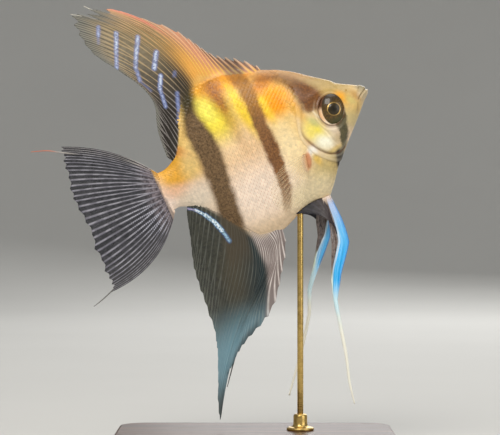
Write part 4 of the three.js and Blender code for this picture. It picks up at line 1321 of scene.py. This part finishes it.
tail_paint, palette, shader, given = fin_paint("tail_fin_web")
ray, out, count = given["ray"], given["out"], given["count"]
x, z, place = given["X"], given["Z"], given["Place"]
web = palette.wash(ink("2c2d32"), "3c3c42", palette.ramp(given["Grain"], 0.35, 0.65))
root_tone = palette.wash(ink("4e464b"), "877d83", palette.ramp(given["Grain"], 0.4, 0.6))
web = palette.mix(palette.ramp(out, 0.1, 0.3, 0.95, 0.0), web, root_tone)
web = palette.wash(web, "504e4c", palette.ramp(count, 12.0, 17.0), 0.6)
clouding = palette.noise(given["Full"], 0.35, 2, 0.5)
bone = palette.wash(ink("74727d"), "a3a1ac", palette.ramp(clouding, 0.35, 0.65))
bone = palette.wash(bone, "857c84", palette.ramp(out, 0.06, 0.2, 1.0, 0.0))
upper_edge = palette.times(palette.ramp(count, 2.6, 0.6), palette.ramp(out, 0.1, 0.6, 1.0, 0.35))
bone = palette.wash(bone, "cfc7bd", upper_edge)
strength = palette.ramp(out, 0.1, 0.95, 0.85, 0.9)
colour = palette.mix(palette.times(ray, strength), web, bone)
pearl_zone = oval(palette, place, (-8.5, -5.5), (6.5, 4.6), 30, 0.5)
pearls = palette.times(palette.times(given["Joint"], pearl_zone), 0.9)
colour = palette.wash(colour, "cfd2e2", pearls)
colours = palette.effect(living_colours_and_highlight, {"Object": given["Object"]})
colour = palette.mix(palette.ramp(x, -0.9, -0.5), colour, colours["Colour"])
palette.feed(shader.inputs["Base Color"], colour)
solid_part = palette.calc("MAXIMUM", ray, palette.ramp(out, 0.3, 0.8, 1.0, 0.0))
palette.feed(shader.inputs["Alpha"], palette.ramp(solid_part, 0.0, 1.0, 0.84, 1.0, "LINEAR"))

tail_wall = fin_wall(2.0, 0.22, 0.36, buried=1.9)
tail = fin_sheet("tail_fin_sheet", TAIL_COUNT, 84, tail_layout, tail_wall, tail_paint, columns=22)
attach(tail, "root")
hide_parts("tail_fin")

# ---- Trailing threads ----
# Single rays run on past the webs of the tail, dorsal and anal fins as fine round filaments.
THREADS = {
    # name: places from root to tip, widths there
    "tail_thread_upper": (
        [(-19, 0.2, 23.2), (-25.2, 0.6, 26.9), (-29, 0.8, 29.3), (-34, 1, 31.2)], [0.5, 0.42, 0.34, 0.22]
    ),
    "tail_thread_lower": (
        [(-24, 0, -19.8), (-29, 0, -21.7), (-33, 0.1, -23), (-36.7, 0.2, -23.9)], [0.5, 0.42, 0.34, 0.2]
    ),
    "anal_thread": ([(5, 0, -51), (-3.4, 0.2, -61), (-8, 0.6, -66.6)], [0.45, 0.4, 0.22]),
    "dorsal_thread_front": ([(11, 0.9, 57.4), (6.7, 0.8, 62.1), (2.2, 0.5, 67.4)], [0.42, 0.4, 0.2]),
    "dorsal_thread_rear": (
        [(8.6, 0.6, 56.4), (5.2, 0.5, 60.1), (1.3, 0.4, 63.8), (-2.8, 0.2, 66.8)], [0.42, 0.4, 0.32, 0.18]
    ),
}
thread_paint, palette, shader = new_paint("fin_thread")
spot = palette.effect(fish_place, {"Object": palette.here()})
colour = palette.wash(ink("6c6a66"), "a09a94", palette.ramp(spot["Z"], 0.0, 20.0))
colour = palette.wash(colour, "cfcaba", palette.ramp(spot["Z"], 50.0, 56.0))
near_root = palette.ramp(spot["X"], -24.0, -19.0)
colour = palette.wash(colour, "5c5a60", near_root, palette.ramp(spot["Z"], 40.0, 36.0))
tip_red = oval(palette, spot["Place"], (-31.5, 30.2), (6, 3), 0, 0.5)
colour = palette.wash(colour, "c06a4c", tip_red)
colour = palette.wash(colour, "3c3d3a", palette.ramp(spot["Z"], -40.0, -50.0))
palette.feed(shader.inputs["Base Color"], colour)
rough = palette.ramp(palette.noise(spot["Full"], 2.0), 0.3, 0.7, 0.35, 0.5)
palette.surface(shader, rough, (0.3, 0.00005, palette.noise(spot["Full"], 4.0)))


def thread_tube(points, widths, rounds=8, rows=40):
    bm = bmesh.new()
    bmesh.ops.create_cone(
        bm, cap_ends=True, cap_tris=False, segments=rounds, radius1=1, radius2=1, depth=1
    )
    long_edges = [e for e in bm.edges if abs(e.verts[0].co.z - e.verts[1].co.z) > 0.5]
    bmesh.ops.subdivide_edges(bm, edges=long_edges, cuts=rows - 1, use_grid_fill=True)
    path = [evenly([p[k] for p in points]) for k in range(3)]
    width = evenly(widths)
    for vert in bm.verts:
        v = vert.co.z + 0.5
        centre = Vector([float(f(v)) for f in path])
        step = [float(f(min(v + 0.01, 1))) - float(f(max(v - 0.01, 0))) for f in path]
        ahead = Vector(step).normalized()
        edge = ahead.cross(Vector((0, 1, 0))).normalized()
        out_of = edge.cross(ahead).normalized()
        half = float(width(v)) / 2
        vert.co = centre + edge * vert.co.x * half + out_of * vert.co.y * half
    bmesh.ops.transform(bm, matrix=STANCE, verts=bm.verts)
    bmesh.ops.recalc_face_normals(bm, faces=bm.faces)
    return bm


for name, (points, widths) in THREADS.items():
    thread = show(name, cast(thread_tube(points, widths), name), thread_paint)
    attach(thread, "root")

# ---- Pelvic fins ----
# The feelers: a stiff spine with a few long rays folded close behind it, sky blue in front and
# brown behind, drawn out into a pale thread longer than the body is deep.
PELVICS = {
    # hand: places from root to tip, widths there
    "right": (
        [(48.1, -1.7, -23.4), (47.5, -3.8, -31.6), (45.9, -5.9, -38.8), (40.3, -8, -47.4),
         (36.4, -9.3, -55.1), (34.9, -10, -60.8), (32, -10.9, -72.5), (29.1, -11.3, -81.4),
         (27.7, -11.5, -88.2)],
        [2.8, 4.3, 5.6, 3.1, 1.45, 1.2, 1.0, 0.8, 0.45],
    ),
    "left": (
        [(46.6, 1.7, -23.6), (43.9, 3.6, -29.8), (42.1, 5.2, -35), (36.3, 7.4, -42.2), (30.4, 8.8, -49.1),
         (26.8, 9.9, -56.6), (19.8, 11, -66), (9.2, 11.8, -78.6)],
        [2.8, 4.2, 4.0, 2.0, 1.4, 1.2, 1.0, 0.55],
    ),
}
# Where the blue leading side of each blade gives way to its brown rear, across 0 to 1, by out.
BLUE_FROM = {
    "right": through([(0, 0.42), (0.1, 0.4), (0.25, 0.38), (0.38, 0.1), (0.46, -0.2), (1, -0.4)]),
    "left": through([
        (0, 1.15), (0.1, 1.02), (0.16, 0.86), (0.24, 0.64), (0.32, 0.36), (0.4, 0.0), (0.44, -0.2),
        (1, -0.4),
    ]),
}
pelvic_paint, palette, shader = new_paint("pelvic_fin_web")
place = palette.here()
across, out, ray, blue_side = (palette.painted(label) for label in ("across", "out", "ray", "blue"))
spot = palette.effect(fish_place, {"Object": place})
grain = palette.noise(spot["Full"], 0.9, 3, 0.6)
stretched = {0: palette.times(across, 9.0), 1: palette.times(out, 4.0), 2: 0.0}
streak = palette.noise(palette.node("CombineXYZ", stretched).outputs[0], 1.0, 3, 0.6)
blue = palette.wash(ink("b2c6ea"), "58b8f0", palette.ramp(out, 0.04, 0.2))
blue = palette.wash(blue, "2cb0f0", palette.ramp(out, 0.2, 0.32))
blue = palette.wash(blue, "c4e8fb", palette.ramp(streak, 0.5, 0.7), 0.4)
# The left fin is paler, so it is told apart by its side of the body.
left_side = palette.ramp(palette.node("SeparateXYZ", {0: place}).outputs["Y"], 0.001, 0.004)
blue = palette.wash(blue, "c0e0f0", left_side, palette.ramp(across, 0.5, 0.85, 0.6, 0.15))
blue = palette.wash(blue, "2f7cc4", palette.ramp(across, 0.86, 1.0, 0.0, 0.85))
brown = palette.wash(ink("4a3c37"), "766760", palette.ramp(grain, 0.35, 0.65))
brown = palette.wash(brown, "8f857f", ray, 0.3)
colour = palette.mix(palette.ramp(blue_side, 0.47, 0.53), brown, blue)
border = palette.ramp(palette.calc("ABSOLUTE", palette.minus(blue_side, 0.56)), 0.02, 0.1, 1.0, 0.0)
border = palette.times(border, palette.ramp(out, 0.05, 0.2))
colour = palette.wash(colour, "dfe3e2", border, 0.65)
cream = palette.times(palette.ramp(across, 0.3, 0.05), palette.ramp(out, 0.34, 0.44))
colour = palette.wash(colour, "e4ecd0", cream)
colour = palette.wash(colour, "cdeaf2", palette.ramp(out, 0.4, 0.52))
colour = palette.wash(colour, "f4f1e2", palette.ramp(out, 0.54, 0.7))
colour = palette.wash(colour, "e9d2bc", palette.ramp(out, 0.0, 0.05, 0.9, 0.0))
palette.feed(shader.inputs["Base Color"], colour)
rough = palette.ramp(grain, 0.3, 0.7, 0.3, 0.46, "LINEAR")
crinkle = palette.plus(streak, palette.noise(place, 2400, 3, 0.6))
palette.surface(shader, rough, (0.4, 0.0001, crinkle), specular=0.4, coat=(0.2, 0.18))


# A path through points that keeps some of their bends crisp.
def bent(values):
    spots = np.linspace(0, 1, len(values))
    curve = evenly(values)
    return lambda v: 0.3 * curve(v) + 0.7 * np.interp(v, spots, values)


for hand, (points, widths) in PELVICS.items():
    sign = -1 if hand == "right" else 1
    feeler_mesh, across, out = strip("pelvic_fin_" + hand, 36, 150)
    path = [bent([p[k] for p in points]) for k in range(3)]
    smooth_path = [evenly([p[k] for p in points]) for k in range(3)]
    centre = np.stack([f(out) for f in path], 1)
    after, before = np.minimum(out + 0.02, 1), np.maximum(out - 0.02, 0)
    ahead = np.stack([f(after) - f(before) for f in smooth_path], 1)
    ahead /= np.linalg.norm(ahead, axis=1)[:, None]
    edge = np.cross(np.array([0, 1.0, 0]), ahead)
    edge /= np.linalg.norm(edge, axis=1)[:, None]
    edge *= np.where(edge[:, :1] > 0, 1, -1)
    flat = np.cross(ahead, edge)
    flat *= np.sign(flat[:, 1:2]) * sign
    width = bent(widths)(out)
    blade = 1 - ease(0.38, 0.52, out)
    folds = np.cos(across * math.tau * 3) * 0.13 * blade * np.minimum(out * 8, 1)
    gutter = (np.abs(across - 0.55) * 2) ** 1.5 * 0.8 * blade * np.minimum(out * 6, 1)
    places = centre + edge * ((across - 0.5) * width)[:, None] - flat * (gutter - folds)[:, None]
    lay_out(feeler_mesh, places)
    spine = swell(across - 0.95, 0.07)
    rays = np.clip(np.cos(across * math.tau * 6), 0, 1) ** 2
    thick = 0.26 + 0.6 * spine + 0.22 * rays
    thread = width * 0.95 * np.sqrt(np.clip(1 - ((across - 0.5) * 1.9) ** 2, 0.05, 1))
    thick = thick * blade + (1 - blade) * thread
    thick = thick * (1 + 0.8 * (1 - ease(0, 0.06, out)))
    blue_side = 0.5 + (across - BLUE_FROM[hand](out))
    for label, values in (
        ("across", across), ("out", out), ("ray", np.maximum(rays, spine) * blade), ("blue", blue_side),
    ):
        set_values(feeler_mesh, label, values)
    feeler = show("pelvic_feeler_" + hand, feeler_mesh, pelvic_paint)
    give_wall(feeler, thick)
    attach(feeler, "root")
    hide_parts("pelvic_fin_" + hand)

# Behind each feeler a short dark web ties it back to the belly.
web_paint, palette, shader = new_paint("pelvic_tie_web")
spot = palette.effect(fish_place, {"Object": palette.here()})
grain = palette.noise(spot["Full"], 1.2, 3, 0.6)
ray = palette.painted("ray")
colour = palette.wash(ink("0b0a0f"), "17141c", palette.ramp(grain, 0.35, 0.65))
colour = palette.wash(colour, "2c211f", palette.ramp(spot["X"], 41.5, 46.0))
colour = palette.wash(colour, "4a4356", ray, 0.3)
palette.feed(shader.inputs["Base Color"], colour)
rough = palette.ramp(grain, 0.3, 0.7, 0.34, 0.5, "LINEAR")
palette.surface(shader, rough, (0.35, 0.0001, palette.noise(spot["Full"], 2.4, 3, 0.6)), specular=0.3)
for hand, sign, reach in (("right", -1, (46.6, -5.0, -33.6)), ("left", 1, (42.6, 4.3, -32.6))):
    tie_mesh, ahead, down = strip("pelvic_tie_" + hand, 32, 24)
    back = 1 - ahead
    root_x = 47.2 - 10.6 * back
    root = np.stack([root_x, sign * (0.6 + 0.9 * (1 - back)), belly_line(root_x) + 1.0], 1)
    head_points = PELVICS[hand][0]
    lead = np.stack([evenly([p[k] for p in head_points])(down * 0.21) for k in range(3)], 1)
    lead[:, 0] -= 0.9
    rear = root * (1 - down)[:, None] + np.array(reach) * down[:, None]
    rear[:, 0] += 1.6 * np.sin(math.pi * down) * back
    rear[:, 2] += 1.2 * np.sin(math.pi * down) * back
    places = lead * (1 - back)[:, None] ** 1.4 + rear * (1 - (1 - back) ** 1.4)[:, None]
    lay_out(tie_mesh, places)
    set_values(tie_mesh, "ray", np.clip(np.cos(back * math.tau * 5), 0, 1) ** 3)
    tie = show("pelvic_tie_" + hand, tie_mesh, web_paint)
    solid = tie.modifiers.new("wall", "SOLIDIFY")
    solid.thickness = 0.0004
    solid.offset = 0
    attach(tie, "root")

# ---- Pectoral fins ----
# A clear, fine-rayed paddle behind each gill cover, held a little off the flank.
PECTORAL_TOP, PECTORAL_BOTTOM = (47.6, -7.8), (46.2, -12.8)
PECTORAL_LENGTHS = evenly([9, 15, 18.5, 19, 17, 11])
PECTORAL_ANGLES = evenly([2, 12, 22, 33, 45, 58])
PECTORAL_COUNT = 12
pectoral_paint, palette, shader, given = fin_paint("pectoral_fin_web", rough=0.3)
ray, out = given["ray"], given["out"]
colour = palette.wash(ink("f4e6c8"), "e8cf9c", ray)
colour = palette.wash(colour, "dba574", palette.ramp(out, 0.0, 0.14, 1.0, 0.0))
palette.feed(shader.inputs["Base Color"], colour)
rays_show = palette.ramp(ray, 0.0, 1.0, 0.02, 0.2, "LINEAR")
root_shows = palette.ramp(out, 0.02, 0.16, 0.95, 0.0)
palette.feed(shader.inputs["Alpha"], palette.calc("MAXIMUM", rays_show, root_shows))

for hand, sign in (("right", -1), ("left", 1)):
    def pectoral_layout(q, out, sign=sign):
        u = q / (PECTORAL_COUNT - 1)
        lift = math.radians(24)
        base_x = PECTORAL_TOP[0] + (PECTORAL_BOTTOM[0] - PECTORAL_TOP[0]) * u
        base_z = PECTORAL_TOP[1] + (PECTORAL_BOTTOM[1] - PECTORAL_TOP[1]) * u
        reach = PECTORAL_LENGTHS(u) * out * (1 - 0.02 * np.abs(q - np.round(q)) * 2)
        trail = np.radians(PECTORAL_ANGLES(u))
        away = flank_place(base_x, base_z) + 0.25 + math.sin(lift) * reach - 0.012 * reach**2
        x = base_x - np.cos(trail) * math.cos(lift) * reach
        z = base_z - np.sin(trail) * math.cos(lift) * reach
        return np.stack([x, sign * away, z], 1), ray_at(q, out, 0, 0.45, 2, 0.12)

    paddle_wall = fin_wall(0.8, 0.1, 0.14, buried=0.9)
    paddle = fin_sheet(
        "pectoral_paddle_" + hand, PECTORAL_COUNT, 44, pectoral_layout, paddle_wall, pectoral_paint
    )
    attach(paddle, "root")
    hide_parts("pectoral_fin_" + hand)

# ---- Stand ----
# A plain museum stand: a block of dark oiled walnut with eased edges, a turned brass collar let
# into its top, and a thin brass rod that enters the belly.
base_low, base_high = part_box("stand_base")
rod_low, rod_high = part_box("stand_rod")

wood, palette, shader = new_paint("oiled_walnut")
place = palette.here()
grain_place = palette.node("Mapping", {"Vector": place, "Scale": (9, 90, 90)}).outputs[0]
wander = palette.noise(grain_place, 1.3, 3, 0.6)
board = palette.node(
    "Mapping", {"Vector": place, "Scale": (6, 60, 110), "Rotation": (0.2, 0.05, 0.03)}
).outputs[0]
figure = palette.node(
    "TexWave",
    {"Vector": board, "Scale": 1.1, "Distortion": 5.0, "Detail": 3.0, "Detail Scale": 1.6},
    wave_type="BANDS",
    bands_direction="Y",
).outputs[1]
fibre_place = palette.node("Mapping", {"Vector": place, "Scale": (120, 2600, 2600)}).outputs[0]
fibre = palette.noise(fibre_place, 1.0, 3, 0.7)
colour = palette.wash(ink("3a2317"), "63402a", palette.ramp(figure, 0.2, 0.85))
colour = palette.wash(colour, "2c1a11", palette.ramp(wander, 0.35, 0.7, 0.0, 0.55))
pore = palette.ramp(fibre, 0.60, 0.72)
colour = palette.wash(colour, "1d110b", pore, 0.6)
palette.feed(shader.inputs["Base Color"], colour)
rough = palette.ramp(fibre, 0.3, 0.7, 0.38, 0.52, "LINEAR")
open_grain = palette.minus(fibre, palette.times(pore, 0.6))
palette.surface(shader, rough, (0.3, 0.0001, open_grain), coat=(0.15, 0.25))


def round_off(bm, edges, offset, segments):
    bmesh.ops.bevel(
        bm, geom=edges, offset=offset, offset_type="OFFSET", segments=segments,
        profile=0.5, affect="EDGES", material=-1,
    )


bm = bmesh.new()
bmesh.ops.create_cube(bm, size=1)
span = base_high - base_low
bmesh.ops.scale(bm, vec=span, verts=bm.verts)
bmesh.ops.translate(bm, vec=(base_low + base_high) / 2, verts=bm.verts)
uprights = [e for e in bm.edges if abs(e.verts[0].co.z - e.verts[1].co.z) > span.z / 2]
round_off(bm, uprights, 0.010, 12)
rims = [e for e in bm.edges if abs(e.verts[0].co.z - e.verts[1].co.z) < 1e-6]
rims = [e for e in rims if len(e.link_faces) == 2 and abs(e.calc_face_angle(0)) > 1]
round_off(bm, rims, 0.0012, 4)
block_mesh = cast(bm, "walnut_block")
block = show("stand_block", block_mesh, wood)
block_mesh.polygons.foreach_set("use_smooth", [abs(p.normal.z) < 0.999 for p in block_mesh.polygons])
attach(block, "root")
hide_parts("stand_base")

brass, palette, shader = new_paint("turned_brass")
place = palette.here()
tarnish = palette.noise(place, 420, 3, 0.6)
turned_place = palette.node("Mapping", {"Vector": place, "Scale": (150, 150, 9000)}).outputs[0]
turning = palette.noise(turned_place, 1.0, 2, 0.6)
colour = palette.wash(ink("d3b36c"), "9a7c45", palette.ramp(tarnish, 0.4, 0.75, 0.0, 0.6))
palette.feed(shader.inputs["Base Color"], colour)
shader.inputs["Metallic"].default_value = 1.0
rough = palette.ramp(turning, 0.3, 0.7, 0.22, 0.4, "LINEAR")
palette.surface(shader, rough, (0.15, 0.00005, turning))

rod_x = (rod_low.x + rod_high.x) / 2
COLLAR_PROFILE = [
    # radius, height
    (0.0, 0), (4.3, 0), (4.5, 0.2), (4.5, 0.75), (4.3, 1.0), (3.9, 1.15), (3.0, 1.25), (2.55, 1.6),
    (2.35, 2.1), (2.3, 3.2), (2.3, 4.6), (2.2, 5.1), (1.9, 5.4), (1.5, 5.5), (0.0, 5.5),
]


# A round form turned from points of its outline, in metres, about an upright axis.
def turned(outline, centre_x, steps, merge):
    bm = bmesh.new()
    verts = [bm.verts.new((x, 0, z)) for x, z in outline]
    edges = [bm.edges.new(pair) for pair in zip(verts, verts[1:])]
    bmesh.ops.spin(
        bm, geom=verts + edges, cent=(centre_x, 0, 0), axis=(0, 0, 1), angle=math.tau,
        steps=steps, use_merge=True,
    )
    bmesh.ops.remove_doubles(bm, verts=bm.verts, dist=merge)
    bmesh.ops.recalc_face_normals(bm, faces=bm.faces)
    return bm


rod_height = (rod_high.z - rod_low.z) * 1000
ROD_PROFILE = [
    (0.0, 0), (1.0, 0), (1.0, rod_height / 2), (1.0, rod_height - 0.3), (0.8, rod_height),
    (0.0, rod_height),
]
for name, profile, foot_z, node in (
    ("stand_turned_collar", COLLAR_PROFILE, base_high.z, "stand_collar"),
    ("stand_brass_rod", ROD_PROFILE, rod_low.z, "stand_rod"),
):
    outline = [(rod_x + r / 1000, foot_z + h / 1000) for r, h in profile]
    piece = show(name, cast(turned(outline, rod_x, 48, 1e-7), name), brass)
    sharp = piece.modifiers.new("bevel", "BEVEL")
    sharp.width, sharp.segments, sharp.limit_method = 0.00008, 2, "ANGLE"
    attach(piece, "root")
    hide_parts(node)

# ---- Floor and light ----
# A plain pale bowl of a studio floor that turns up far behind, and broad soft lamps.
FLAT_REACH = 1.1
rise = [(0, 0), (0.2, 0), (0.6, 0), (FLAT_REACH, 0)]
rise += [
    (FLAT_REACH + FLAT_REACH * math.sin(a), FLAT_REACH - FLAT_REACH * math.cos(a))
    for a in np.linspace(0.05, math.pi / 2, 24)
]
rise += [(2 * FLAT_REACH, 2.0)]
floor_mesh = cast(turned(rise, 0, 96, 1e-6), "floor")
floor_paint, palette, shader = new_paint("pale_floor")
cloud = palette.noise(palette.here(), 6, 3, 0.5)
palette.feed(shader.inputs["Base Color"], palette.wash(ink("c2c1bd"), "c9c8c4", cloud))
shader.inputs["Roughness"].default_value = 0.85
floor = show("floor", floor_mesh, floor_paint)

world = bpy.data.worlds.new("studio")
world.use_nodes = True
sky = world.node_tree.nodes["Background"].inputs
sky["Color"].default_value = (0.92, 0.95, 1.0, 1)
sky["Strength"].default_value = 0.34
bpy.context.scene.world = world

LAMPS = [
    # name, place, size, watts, colour
    ("key", (-0.35, -0.95, 0.85), 0.6, 9.8, (1.0, 0.97, 0.92)),
    ("fill", (0.9, -0.7, 0.35), 0.8, 3.6, (1.0, 0.99, 0.97)),
    ("top", (0.05, -0.05, 1.2), 0.8, 5.0, (1.0, 0.98, 0.94)),
    ("back", (0.3, 1.0, 0.6), 0.9, 6.0, (1.0, 1.0, 1.0)),
]
for name, spot, size, watts, tint in LAMPS:
    lamp = bpy.data.lights.new(name, "AREA")
    lamp.shape = "SQUARE"
    lamp.size = size
    lamp.energy = watts
    lamp.color = tint
    holder = bpy.data.objects.new(name, lamp)
    holder.location = spot
    holder.rotation_euler = (Vector((0, 0, 0.08)) - Vector(spot)).to_track_quat("-Z", "Y").to_euler()
    bpy.context.collection.objects.link(holder)
